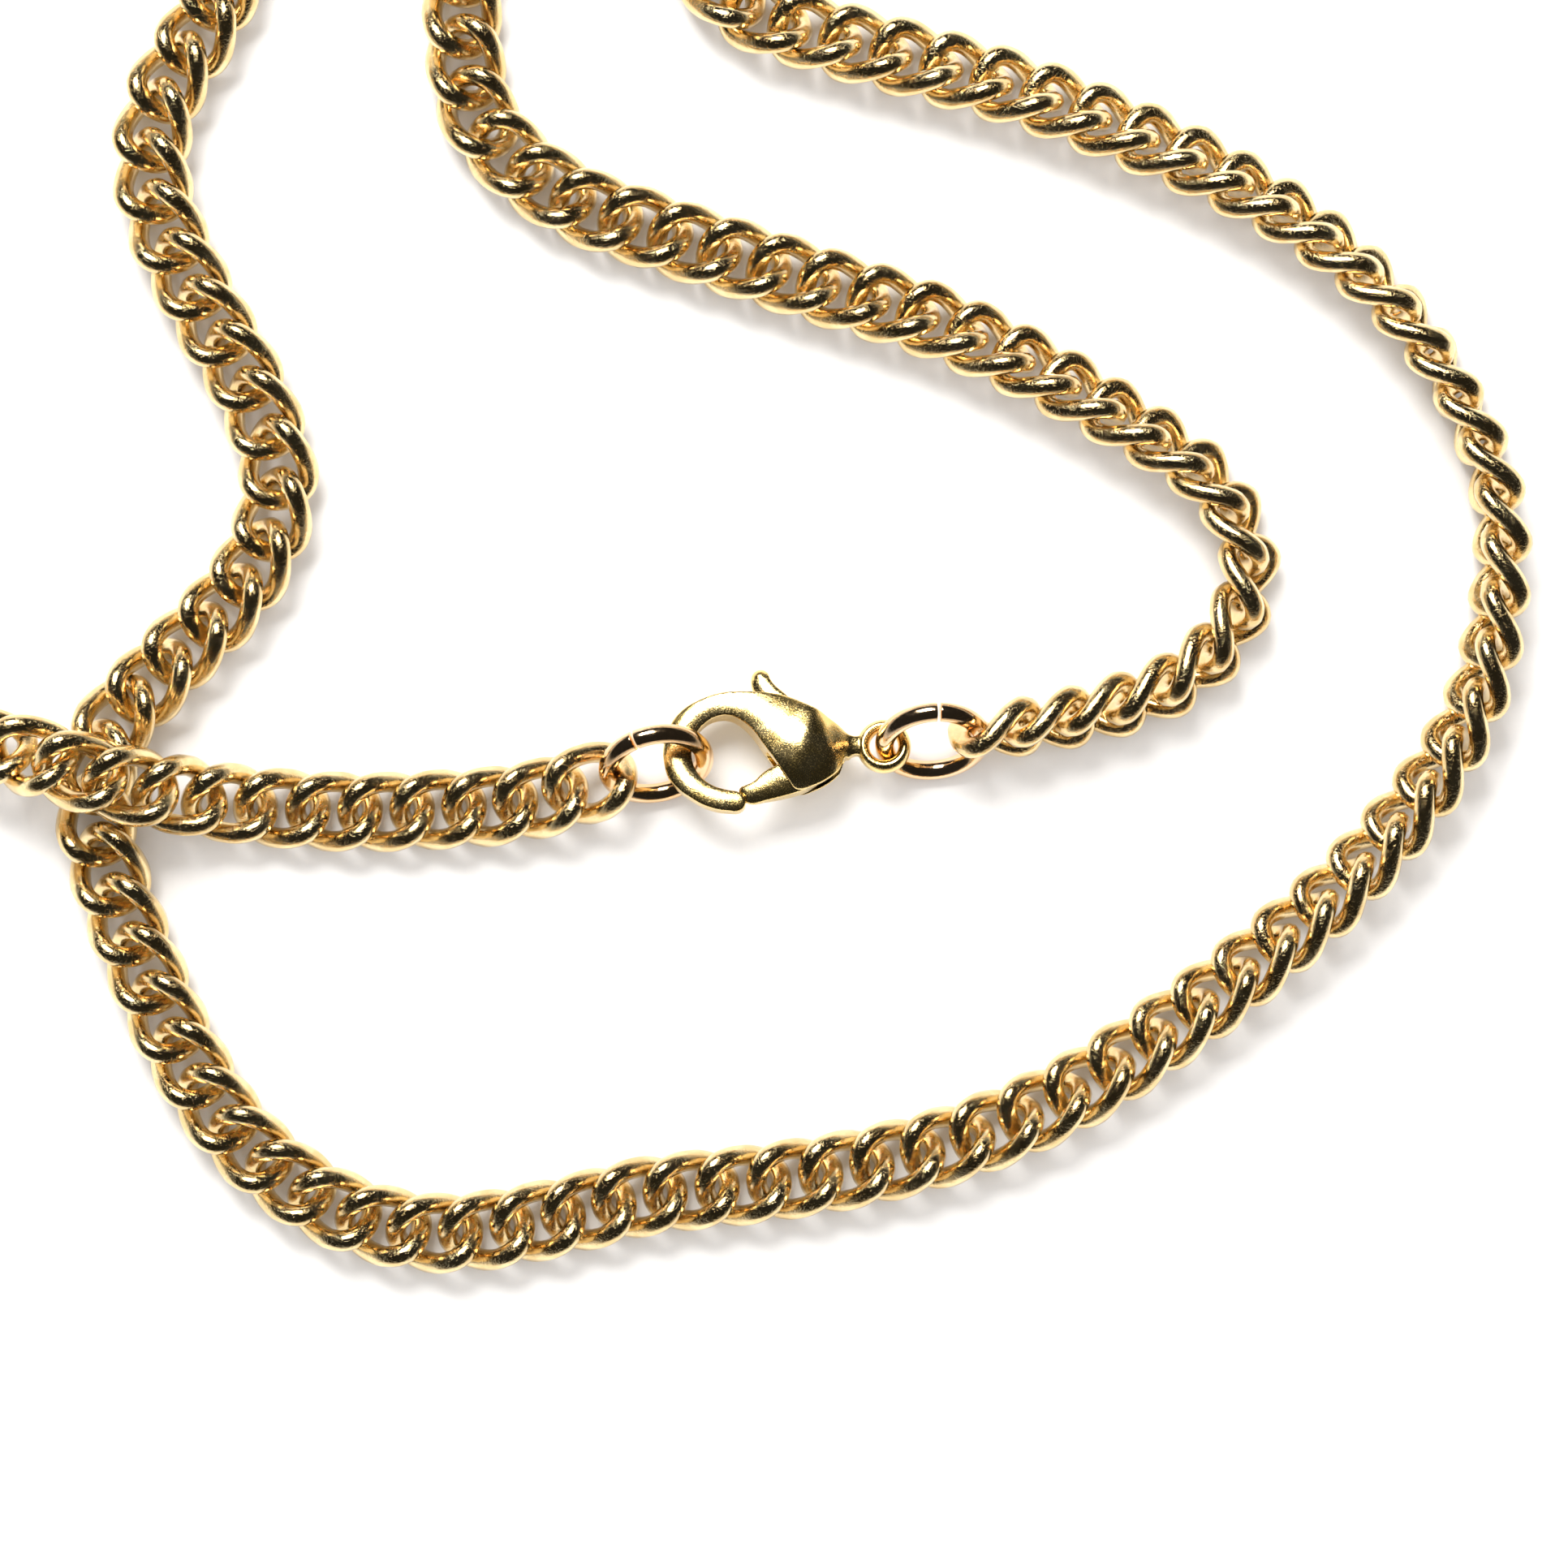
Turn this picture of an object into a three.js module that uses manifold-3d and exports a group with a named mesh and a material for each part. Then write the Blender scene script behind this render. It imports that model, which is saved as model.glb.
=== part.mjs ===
// A 16 inch curb-chain necklace of gold-plated brass, lying in loose loops on a flat surface and
// closed by a lobster clasp that hangs between two round jump rings.
// Millimetres, +Z up. The origin is on the surface, under the middle of the necklace's box.
//
// The links nearest the clasp are single pieces. The rest of the chain is in runs of a few links,
// each run one piece whose links are tacked together where they touch.
import * as THREE from 'three';
import { mergeVertices } from 'three/addons/utils/BufferGeometryUtils.js';
import Module from 'manifold-3d';

const wasm = await Module();
wasm.setup();

// ---------------------------------------------------------------- driving dimensions
// Curb link: an oval wire ring whose four quarters rise and fall by turns.
const LINK_WIRE = 1.02;
const LINK_LENGTH = 4.8;
const LINK_WIDTH = 3.95;
const LINK_RISE = 0.78;
const LINK_PLAY = 0.2;
const LINK_SIDES = 4;
const LINK_STEPS = 8;
const TACK_SIZE = 0.54;

// Chain: single links at each end, runs between them, and one link left open among the runs.
const SINGLE_LINKS = 10;
const RUN_LINKS = 4;
const RUN_COUNT = 33;
const OPEN_AFTER_RUN = 27;
const CROSSING_CLEARANCE = 0.12;

// The two end links: roll, slack in the ring, sideways shift from its middle and height above it.
const FIRST_LINK = { rollDeg: 80, slack: 0.16, shift: 0.5, above: 0.2 };
const LAST_LINK = { rollDeg: -180, slack: 0.06, shift: -0.95, above: -0.35 };

// Jump rings, cut once and leaning over. Each is placed from the part of the clasp that it holds,
// turned a little in plan, with its cut at an angle round the ring.
const RING_WIRE = 0.95;
const RING_OUTER = 5.7;
const RING_LEAN_DEG = 54;
const RING_CUT = 0.2;
const RING_SIDES = 7;
const RING_STEPS = 20;
const RIGHT_RING = { pastEye: 0.02, shift: 0.24, turnDeg: 5, cutDeg: 78 };
const LEFT_RING = { slack: 0.15, shift: -0.14, turnDeg: 12, cutDeg: 104 };

// Lobster clasp. Its outlines are drawn for a clasp 12 mm long about the rivet, and scale with it.
const CLASP_LENGTH = 12;
const CLASP_SAG = 0.06;
const CLASP_TILT_DEG = 12; // its tab side leans down
const CLASP_EYE_PLACE = [3.52, 0.72];
const CLASP_BEND_PLACE = [-5.85, 0]; // the inner face of the hook's bend
const CLASP_HUB = 2.3;
const BODY_RIM = 0.45;
const HOOK_RIM = 0.35;
const EYE_RIM = 0.25;
const CLASP_BODY_THICK = 3.3;
const CLASP_HOOK_THICK = 1.3;
const CLASP_EYE_THICK = 0.85;
const CLASP_EYE_OUTER = 2.56;
const CLASP_EYE_HOLE = 1.82;
const LEVER_THICK = 1.4;
const LEVER_CLEARANCE = 0.2;
const LEVER_TRAVEL_DEG = 22;
const RIVET_DIAMETER = 0.8;
const RIVET_RUNNING_GAP = 0.06;
const RIVET_SEAT_GAP = 0.04;
const SPRING_WIRE = 0.2;
const SPRING_COIL = 1.36;
const SPRING_TURNS = 2;
const SPRING_GAP = 0.1;
const SPRING_COIL_STEPS = 14;
const SPRING_RISE = 1.3; // rise of one turn in wire diameters

// Hinge travel in degrees.
const RUN_SWING_DEG = 6;
const LINK_SWING_DEG = 8;
const RING_SWING_DEG = 10;

// ---------------------------------------------------------------- the route
// Points that the chain's centre line passes, from the right jump ring round to the left one:
// x, y from the rivet, roll about the direction of travel in degrees, and lift in strand heights.
// The whole route is then sized to the chain's length.
const ROUTE = [
  [14.1, 2.5, 70, 0],
  [18.4, 4.3, 68, 0],
  [21.2, 8.4, 70, 0],
  [19.8, 13.1, 66, 0],
  [14.2, 17.3, 52, 0],
  [6.9, 21.1, 32, 0],
  [-0.3, 23.5, 14, 0],
  [-7.3, 25.8, 4, 0],
  [-12.2, 27.7, 0, 0],
  [-16.1, 31.2, 0, 0],
  [-17.1, 36.0, -2, 0],
  [-16.6, 41.2, -4, 0],
  [-13.4, 45.2, -6, 0],
  [-8.8, 45.0, -8, 0],
  [-6.1, 41.0, -9, 0],
  [-3.6, 37.1, -12, 0],
  [1.3, 35.3, -20, 0],
  [6.0, 34.0, -26, 0],
  [10.7, 32.6, -34, 0],
  [15.5, 30.7, -42, 0],
  [19.8, 28.7, -50, 0],
  [24.1, 26.1, -60, 0],
  [28.2, 22.5, -72, 0],
  [31.4, 18.1, -82, 0],
  [33.3, 13.6, -90, 0],
  [33.6, 8.8, -97, 0],
  [32.6, 3.6, -107, 0],
  [30.2, -1.0, -118, 0],
  [26.5, -5.5, -128, 0],
  [22.2, -9.4, -138, 0],
  [17.6, -13.0, -147, 0],
  [12.8, -16.2, -155, 0],
  [7.6, -18.5, -163, 0],
  [2.3, -19.9, -170, 0],
  [-2.8, -20.7, -174, 0],
  [-8.1, -21.3, -178, 0],
  [-13.2, -22.5, -180, 0],
  [-18.5, -23.1, -182, 0],
  [-23.5, -21.8, -184, 0],
  [-27.9, -18.5, -187, 0],
  [-30.8, -14.2, -190, 0],
  [-32.8, -9.8, -192, 0],
  [-34.3, -5.8, -190, 0],
  [-35.1, -2.0, -188, 0],
  [-34.2, 1.7, -190, 0],
  [-31.6, 4.6, -194, 0],
  [-27.5, 9.2, -198, 0],
  [-26.1, 13.9, -198, 0],
  [-27.7, 18.6, -198, 0],
  [-30.3, 23.2, -198, 0],
  [-32.2, 28.0, -198, 0],
  [-31.8, 32.4, -198, 0],
  [-29.3, 36.9, -196, 0],
  [-27.9, 41.7, -194, 0],
  [-29.7, 47.8, -192, 0],
  [-34.8, 50.2, -190, 0],
  [-39.9, 47.0, -188, 0],
  [-42.6, 39.6, -186, 0],
  [-46.0, 32.6, -184, 0],
  [-49.6, 25.4, -183, 0],
  [-51.8, 17.6, -182, 0],
  [-50.8, 9.8, -181, 0],
  [-46.4, 3.9, -180, 0],
  [-40.8, 0.9, -180, 0.36],
  [-38.2, 0.3, -180, 0.86],
  [-35.6, -0.5, -180, 1],
  [-32.6, -1.3, -180, 0.84],
  [-29.8, -1.8, -180, 0.34],
  [-27.2, -2.2, -180, 0.02],
  [-22.2, -2.5, -180, 0],
  [-17.0, -2.3, -180, 0],
  [-14.0, -2.0, -180, 0.1],
];

// ---------------------------------------------------------------- solids
// A geometry as a closed solid, its shared vertices merged.
function solidOf(geometry) {
  const bare = geometry.index ? geometry.toNonIndexed() : geometry.clone();
  bare.deleteAttribute('normal');
  bare.deleteAttribute('uv');
  const merged = mergeVertices(bare, 1e-4);
  return new wasm.Manifold(
    new wasm.Mesh({
      numProp: 3,
      vertProperties: new Float32Array(merged.attributes.position.array),
      triVerts: new Uint32Array(merged.index.array),
    }),
  );
}

// A closed solid as a geometry for a mesh.
function geometryOf(solid) {
  const mesh = solid.getMesh();
  const geometry = new THREE.BufferGeometry();
  geometry.setAttribute('position', new THREE.BufferAttribute(new Float32Array(mesh.vertProperties), 3));
  geometry.setIndex(new THREE.BufferAttribute(new Uint32Array(mesh.triVerts), 1));
  return geometry.toNonIndexed();
}

function joined(geometries) {
  return geometries.map(solidOf).reduce((sum, solid) => sum.add(solid));
}

function cut(solid, geometries) {
  return geometries.map(solidOf).reduce((left, tool) => left.subtract(tool), solid);
}

// A flat outline given thickness about z = 0, with rounded rims that stay inside the outline.
function plate(shape, thick, rim = 0) {
  const geometry = new THREE.ExtrudeGeometry(shape, {
    depth: thick - 2 * rim,
    curveSegments: 8,
    bevelEnabled: rim > 0,
    bevelThickness: rim,
    bevelSize: rim,
    bevelOffset: -rim,
    bevelSegments: 2,
  });
  return geometry.translate(0, 0, -(thick - 2 * rim) / 2);
}

// The same outline grown all round by a clearance, for the space that it moves in.
function grownPlate(shape, thick, clearance) {
  const lip = clearance / 4;
  const geometry = new THREE.ExtrudeGeometry(shape, {
    depth: thick + 2 * (clearance - lip),
    curveSegments: 8,
    bevelEnabled: true,
    bevelThickness: lip,
    bevelSize: 0,
    bevelOffset: clearance,
    bevelSegments: 1,
  });
  return geometry.translate(0, 0, -(thick + 2 * (clearance - lip)) / 2);
}

// A cylinder along Z, standing from one height to another.
function pin(diameter, low, high, sides = 16) {
  const geometry = new THREE.CylinderGeometry(diameter / 2, diameter / 2, high - low, sides);
  return geometry.rotateX(Math.PI / 2).translate(0, 0, (low + high) / 2);
}

// ---------------------------------------------------------------- curb link
const linkHalfLength = (LINK_LENGTH - LINK_WIRE) / 2;
const linkHalfWidth = (LINK_WIDTH - LINK_WIRE) / 2;
const strandHeight = 2 * LINK_RISE + LINK_WIRE;

function linkCentreLine(angle) {
  return new THREE.Vector3(
    linkHalfLength * Math.cos(angle),
    linkHalfWidth * Math.sin(angle),
    -LINK_RISE * Math.sin(2 * angle),
  );
}

function linkDirection(angle) {
  return new THREE.Vector3(
    -linkHalfLength * Math.sin(angle),
    linkHalfWidth * Math.cos(angle),
    -2 * LINK_RISE * Math.cos(2 * angle),
  ).normalize();
}

// A torus of the link's wire, each of its rings of points moved on to the link's centre line.
function linkGeometry() {
  const geometry = new THREE.TorusGeometry(1, LINK_WIRE / 2, LINK_SIDES, LINK_STEPS);
  const position = geometry.attributes.position;
  const point = new THREE.Vector3();
  for (let i = 0; i < position.count; i += 1) {
    point.fromBufferAttribute(position, i);
    const angle = Math.atan2(point.y, point.x);
    const outward = Math.hypot(point.x, point.y) - 1;
    const along = linkDirection(angle);
    const across = new THREE.Vector3(linkHalfWidth * Math.cos(angle), linkHalfLength * Math.sin(angle), 0);
    across.addScaledVector(along, -across.dot(along)).normalize();
    const upward = new THREE.Vector3().crossVectors(across, along);
    const moved = linkCentreLine(angle).addScaledVector(across, outward).addScaledVector(upward, point.z);
    position.setXYZ(i, moved.x, moved.y, moved.z);
  }
  return geometry;
}

// ---------------------------------------------------------------- rings and clasp: places
const ringRadius = (RING_OUTER - RING_WIRE) / 2;
const ringHole = RING_OUTER / 2 - RING_WIRE; // the hole's radius
const ringLean = THREE.MathUtils.degToRad(RING_LEAN_DEG);
const ringHeight = ringRadius * Math.sin(ringLean) + RING_WIRE / 2;
const claspScale = CLASP_LENGTH / 12;
const claspHeight = ringHeight - CLASP_SAG;
const eyeCentre = new THREE.Vector2(...CLASP_EYE_PLACE).multiplyScalar(claspScale);
const hookBend = new THREE.Vector2(...CLASP_BEND_PLACE).multiplyScalar(claspScale);

// The left ring's far end goes round the hook's bend, and the right ring's near end through the eye.
const leftRingCentre = new THREE.Vector3(
  hookBend.x - ringHole + LEFT_RING.slack,
  hookBend.y + LEFT_RING.shift,
  ringHeight,
);
const rightRingCentre = new THREE.Vector3(
  eyeCentre.x + ringRadius + RIGHT_RING.pastEye,
  eyeCentre.y + RIGHT_RING.shift,
  ringHeight,
);

// ---------------------------------------------------------------- chain: places of the links
const linkPitch = LINK_LENGTH - 2 * LINK_WIRE - LINK_PLAY;
const linkCount = 2 * SINGLE_LINKS + RUN_COUNT * RUN_LINKS + 1;
const openLink = SINGLE_LINKS + OPEN_AFTER_RUN * RUN_LINKS;

// Uniform Catmull-Rom through rows of values, at a place counted in rows.
function catmullRom(rows, place) {
  const last = rows.length - 1;
  const index = Math.min(Math.floor(place), last - 1);
  const t = place - index;
  const [before, from, to, after] = [index - 1, index, index + 1, index + 2].map(
    (i) => rows[Math.min(Math.max(i, 0), last)],
  );
  return from.map((value, k) => {
    const leave = (to[k] - before[k]) / 2;
    const arrive = (after[k] - from[k]) / 2;
    const bend = -3 * value + 3 * to[k] - 2 * leave - arrive;
    const curl = 2 * value - 2 * to[k] + leave + arrive;
    return value + leave * t + bend * t * t + curl * t * t * t;
  });
}

// Half the height of a link that is rolled about its length.
function halfHeight(roll) {
  const STEPS = 24;
  let reach = 0;
  for (let i = 0; i <= STEPS; i += 1) {
    const angle = ((Math.PI / 2) * i) / STEPS;
    const side = linkHalfWidth * Math.sin(angle) * Math.abs(Math.sin(roll));
    const rise = LINK_RISE * Math.sin(2 * angle) * Math.abs(Math.cos(roll));
    reach = Math.max(reach, side + rise);
  }
  return reach + LINK_WIRE / 2;
}

function centreAt(rows, place) {
  const [x, y, rollDeg, lift] = catmullRom(rows, place);
  const roll = THREE.MathUtils.degToRad(rollDeg);
  const height = halfHeight(roll) + lift * (strandHeight + CROSSING_CLEARANCE);
  return { point: new THREE.Vector3(x, y, height), roll };
}

// Walks the route in short steps and returns where each whole pitch falls.
function placesAlong(rows, count) {
  const STEPS_PER_ROW = 60;
  const total = (rows.length - 1) * STEPS_PER_ROW;
  const samples = Array.from({ length: total + 1 }, (_, i) => centreAt(rows, i / STEPS_PER_ROW));
  const lengths = [0];
  for (let i = 1; i <= total; i += 1) {
    lengths.push(lengths[i - 1] + samples[i].point.distanceTo(samples[i - 1].point));
  }
  const places = [];
  let step = 0;
  for (let i = 0; i < count; i += 1) {
    const wanted = (lengths[total] * i) / (count - 1);
    while (step < total - 1 && lengths[step + 1] < wanted) step += 1;
    const share = (wanted - lengths[step]) / (lengths[step + 1] - lengths[step]);
    places.push(centreAt(rows, (step + Math.min(share, 1)) / STEPS_PER_ROW));
  }
  return { places, length: lengths[total] };
}

// The lift that brings a link of a given roll to a given height.
function liftTo(height, rollDeg) {
  return (height - halfHeight(THREE.MathUtils.degToRad(rollDeg))) / (strandHeight + CROSSING_CLEARANCE);
}

// A row of the route for an end link, beside its ring on the given side.
function endRow(ring, link, direction) {
  const lift = liftTo(ring.z + link.above, link.rollDeg);
  const linkHole = LINK_LENGTH / 2 - LINK_WIRE; // half the hole's length
  const reach = ringHole + linkHole - link.slack;
  return [ring.x + direction * reach, ring.y + link.shift, link.rollDeg, lift];
}

// The inner points are moved in or out from the clasp until the route is as long as the chain.
function fittedRoute() {
  const first = endRow(rightRingCentre, FIRST_LINK, 1);
  const last = endRow(leftRingCentre, LAST_LINK, -1);
  const wanted = linkPitch * (linkCount - 1);
  let size = 1;
  for (let round = 0; round < 12; round += 1) {
    const inner = ROUTE.map(([x, y, roll, lift]) => [x * size, y * size, roll, lift]);
    const { length } = placesAlong([first, ...inner, last], linkCount);
    size *= 1 + (wanted - length) / length;
  }
  const inner = ROUTE.map(([x, y, roll, lift]) => [x * size, y * size, roll, lift]);
  return placesAlong([first, ...inner, last], linkCount);
}

const { places: linkPlaces } = fittedRoute();

// A link's own frame: X along the chain, Z up, then rolled about X.
function linkFrame(index) {
  const { point, roll } = linkPlaces[index];
  const before = linkPlaces[Math.max(index - 1, 0)].point;
  const after = linkPlaces[Math.min(index + 1, linkCount - 1)].point;
  const along = after.clone().sub(before).normalize();
  const side = new THREE.Vector3(0, 0, 1).cross(along).normalize();
  const up = new THREE.Vector3().crossVectors(along, side);
  const frame = new THREE.Matrix4().makeBasis(along, side, up);
  frame.multiply(new THREE.Matrix4().makeRotationX(roll));
  return frame.setPosition(point);
}

// ---------------------------------------------------------------- materials
function metal(color, roughness) {
  return new THREE.MeshStandardMaterial({ color, roughness, metalness: 1 });
}

const FINISH = {
  chain: () => metal(0xd9a63a, 0.22),
  ring: () => metal(0xe0b070, 0.2),
  clasp: () => metal(0xe2b236, 0.28),
  steel: () => metal(0xb9bcc0, 0.35),
};

// ---------------------------------------------------------------- group
const necklace = new THREE.Group();
necklace.name = 'necklace';

function addNode(name, geometry, material, parent = necklace) {
  const mesh = new THREE.Mesh(geometry, material);
  mesh.name = name;
  parent.add(mesh);
  return mesh;
}

// ---------------------------------------------------------------- chain: pieces
// A link, and the tack that joins it to the next one, in the necklace's frame.
function placedLink(index) {
  return linkGeometry().applyMatrix4(linkFrame(index));
}

function tack(index) {
  const middle = linkPlaces[index].point.clone().add(linkPlaces[index + 1].point).multiplyScalar(0.5);
  return new THREE.TetrahedronGeometry(TACK_SIZE).translate(middle.x, middle.y, middle.z);
}

// Several links in a row, tacked together, as one closed body.
function runGeometry(firstIndex, count) {
  const pieces = [];
  for (let i = firstIndex; i < firstIndex + count; i += 1) {
    pieces.push(placedLink(i));
    if (i + 1 < firstIndex + count) pieces.push(tack(i));
  }
  return geometryOf(joined(pieces));
}

const twoDigits = (number) => String(number).padStart(2, '0');

// Every piece of chain in order from the right ring: its name, first link and number of links.
function chainPieces() {
  const pieces = [];
  for (let i = 0; i < SINGLE_LINKS; i += 1) {
    pieces.push({ name: `link_right_${twoDigits(i + 1)}`, first: i, count: 1 });
  }
  for (let run = 0; run < RUN_COUNT; run += 1) {
    const skipped = run >= OPEN_AFTER_RUN ? 1 : 0;
    pieces.push({
      name: `run_${twoDigits(run + 1)}`,
      first: SINGLE_LINKS + run * RUN_LINKS + skipped,
      count: RUN_LINKS,
    });
  }
  for (let i = SINGLE_LINKS; i > 0; i -= 1) {
    pieces.push({ name: `link_left_${twoDigits(i)}`, first: linkCount - i, count: 1 });
  }
  return pieces;
}

const chain = chainPieces();
for (const piece of chain) {
  const geometry = piece.count === 1 ? placedLink(piece.first) : runGeometry(piece.first, piece.count);
  addNode(piece.name, geometry, FINISH.chain());
}

// ---------------------------------------------------------------- jump rings
// A ring of wire from one side of its cut round to the other, leaning about its own long way,
// which is turned a little from X.
function ringGeometry(centre, { turnDeg, cutDeg }) {
  const gapAngle = RING_CUT / ringRadius;
  const start = THREE.MathUtils.degToRad(cutDeg) + gapAngle / 2;
  const end = start + 2 * Math.PI - gapAngle;
  class RingLine extends THREE.Curve {
    getPoint(t) {
      const angle = start + (end - start) * t;
      return new THREE.Vector3(ringRadius * Math.cos(angle), ringRadius * Math.sin(angle), 0);
    }
  }
  const section = new THREE.Shape();
  for (let i = 0; i < RING_SIDES; i += 1) {
    const angle = (2 * Math.PI * i) / RING_SIDES;
    const [x, y] = [(RING_WIRE / 2) * Math.cos(angle), (RING_WIRE / 2) * Math.sin(angle)];
    if (i === 0) section.moveTo(x, y);
    else section.lineTo(x, y);
  }
  const geometry = new THREE.ExtrudeGeometry(section, { steps: RING_STEPS, extrudePath: new RingLine() });
  geometry.rotateX(ringLean).rotateZ(THREE.MathUtils.degToRad(turnDeg));
  return geometry.translate(centre.x, centre.y, centre.z);
}

addNode('jump_ring_right', ringGeometry(rightRingCentre, RIGHT_RING), FINISH.ring());
addNode('jump_ring_left', ringGeometry(leftRingCentre, LEFT_RING), FINISH.ring());

// ---------------------------------------------------------------- clasp outlines
// Points drawn about the rivet, joined by straight sides.
function cornered(points) {
  return new THREE.Shape(points.map(([x, y]) => new THREE.Vector2(x * claspScale, y * claspScale)));
}

function disc(x, y, diameter) {
  return new THREE.Shape().absarc(x, y, diameter / 2, 0, 2 * Math.PI, false);
}

// The hook: from the body's shoulder over the top, round the bend and back to the tip.
const HOOK_OUTLINE = [
  [-1.0, 2.9],
  [-1.9, 3.4],
  [-3.0, 3.45],
  [-4.4, 3.32],
  [-5.5, 2.97],
  [-6.4, 2.42],
  [-7.0, 1.6],
  [-7.24, 0.6],
  [-7.22, -0.3],
  [-6.85, -1.2],
  [-5.9, -2.05],
  [-4.9, -2.48],
  [-4.0, -2.6],
  [-3.42, -2.52],
  [-3.8, -1.5],
  [-4.25, -1.38],
  [-4.95, -1.14],
  [-5.5, -0.62],
  [-5.78, 0.0],
  [-5.76, 0.8],
  [-5.5, 1.5],
  [-5.0, 2.0],
  [-4.3, 2.2],
  [-3.6, 2.05],
  [-2.9, 1.5],
  [-2.3, 0.7],
  [-1.0, 0.9],
];
const BODY_OUTLINE = [
  [2.4, 0.32],
  [2.4, 1.12],
  [1.75, 1.3],
  [1.3, 1.86],
  [0.56, 2.36],
  [-0.25, 2.78],
  [-1.1, 3.16],
  [-2.0, 3.42],
  [-3.0, 3.45],
  [-3.5, 3.2],
  [-3.4, 2.2],
  [-2.8, 1.4],
  [-2.3, 0.7],
  [-1.75, 0.02],
  [-1.08, -1.0],
  [-0.7, -1.28],
  [0.56, -0.95],
  [1.3, -0.35],
  [1.8, 0.2],
];
const GATE_OUTLINE = [
  [-3.1, -2.2],
  [-3.46, -1.32],
  [-2.2, -0.35],
  [-1.4, 0.1],
  [-0.6, 0.8],
  [0.2, -0.9],
  [-0.9, -1.42],
];
const TAB_OUTLINE = [
  [-0.9, 0.2],
  [-2.0, 2.4],
  [-2.9, 3.6],
  [-2.86, 4.15],
  [-2.56, 4.46],
  [-2.15, 4.42],
  [-1.75, 4.05],
  [-1.2, 3.2],
  [-0.2, 1.6],
  [0.6, 0.5],
];
const SPRING_RECESS = SPRING_COIL + SPRING_WIRE + 2 * SPRING_GAP;

// ---------------------------------------------------------------- clasp
const clasp = new THREE.Group();
clasp.position.z = claspHeight;
clasp.rotation.x = -THREE.MathUtils.degToRad(CLASP_TILT_DEG);
clasp.updateMatrixWorld();
necklace.add(clasp);

// A point of the clasp's own middle plane in the necklace's frame.
function onClasp({ x, y }) {
  return new THREE.Vector3(x, y, 0).applyMatrix4(clasp.matrixWorld);
}

function leverPlates(make) {
  return [cornered(GATE_OUTLINE), cornered(TAB_OUTLINE), disc(0, 0, CLASP_HUB * claspScale)].map(make);
}

// Everything that the lever sweeps, with clearance all round.
function leverSpace() {
  const POSITIONS = 4;
  const swept = [];
  for (let i = 0; i < POSITIONS; i += 1) {
    const turn = -THREE.MathUtils.degToRad((LEVER_TRAVEL_DEG * i) / (POSITIONS - 1));
    swept.push(
      ...leverPlates((shape) => grownPlate(shape, LEVER_THICK, LEVER_CLEARANCE).rotateZ(turn)),
    );
  }
  return swept;
}

// Body, hook and eye are one casting.
function claspBody() {
  const eye = disc(eyeCentre.x, eyeCentre.y, CLASP_EYE_OUTER * claspScale);
  const casting = joined([
    plate(cornered(BODY_OUTLINE), CLASP_BODY_THICK, BODY_RIM),
    plate(cornered(HOOK_OUTLINE), CLASP_HOOK_THICK, HOOK_RIM),
    plate(eye, CLASP_EYE_THICK, EYE_RIM),
  ]);
  const half = CLASP_BODY_THICK;
  const eyeHole = pin(CLASP_EYE_HOLE * claspScale, -half, half).translate(eyeCentre.x, eyeCentre.y, 0);
  const rivetHole = pin(RIVET_DIAMETER + 2 * RIVET_SEAT_GAP, -half, half);
  return geometryOf(cut(casting, [eyeHole, rivetHole, ...leverSpace()]));
}

// The lever: gate and thumb tab on one hub, with a recess for the spring round the rivet.
function claspLever() {
  const solid = joined(leverPlates((shape) => plate(shape, LEVER_THICK)));
  const bore = pin(RIVET_DIAMETER + 2 * RIVET_RUNNING_GAP, -LEVER_THICK, LEVER_THICK);
  const recess = pin(SPRING_RECESS, springBottom() - SPRING_GAP, LEVER_THICK);
  return geometryOf(cut(solid, [bore, recess]));
}

const springHeight = SPRING_TURNS * SPRING_WIRE * SPRING_RISE;

function springBottom() {
  return LEVER_THICK / 2 - springHeight - SPRING_WIRE;
}

// A coil of spring wire round the rivet.
function claspSpring() {
  class Coil extends THREE.Curve {
    getPoint(t) {
      const angle = 2 * Math.PI * SPRING_TURNS * t;
      const height = springBottom() + SPRING_WIRE / 2 + springHeight * t;
      return new THREE.Vector3((SPRING_COIL / 2) * Math.cos(angle), (SPRING_COIL / 2) * Math.sin(angle), height);
    }
  }
  const half = SPRING_WIRE / 2;
  const section = new THREE.Shape([
    new THREE.Vector2(half, 0),
    new THREE.Vector2(0, half),
    new THREE.Vector2(-half, 0),
    new THREE.Vector2(0, -half),
  ]);
  return new THREE.ExtrudeGeometry(section, { steps: SPRING_COIL_STEPS * SPRING_TURNS, extrudePath: new Coil() });
}

addNode('clasp_body', claspBody(), FINISH.clasp(), clasp);
addNode('clasp_lever', claspLever(), FINISH.clasp(), clasp);
addNode('clasp_rivet', pin(RIVET_DIAMETER, -CLASP_BODY_THICK / 2, CLASP_BODY_THICK / 2), FINISH.clasp(), clasp);
addNode('clasp_spring', claspSpring(), FINISH.steel(), clasp);

// ---------------------------------------------------------------- hinges
// Each piece but one hangs on the piece before it by a level hinge, whose positive turn lifts it.
// The tree starts at the run that lies under the crossing. One branch goes up the left side. The
// other goes round by the right side and the clasp and back over the crossing, so its hinges are
// turned to lift the crossing strand as well. The two ends meet at the open link.
const route = linkPlaces.map(({ point }) => point);

function middleLink(piece) {
  return route[piece.first + Math.floor((piece.count - 1) / 2)];
}

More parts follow.
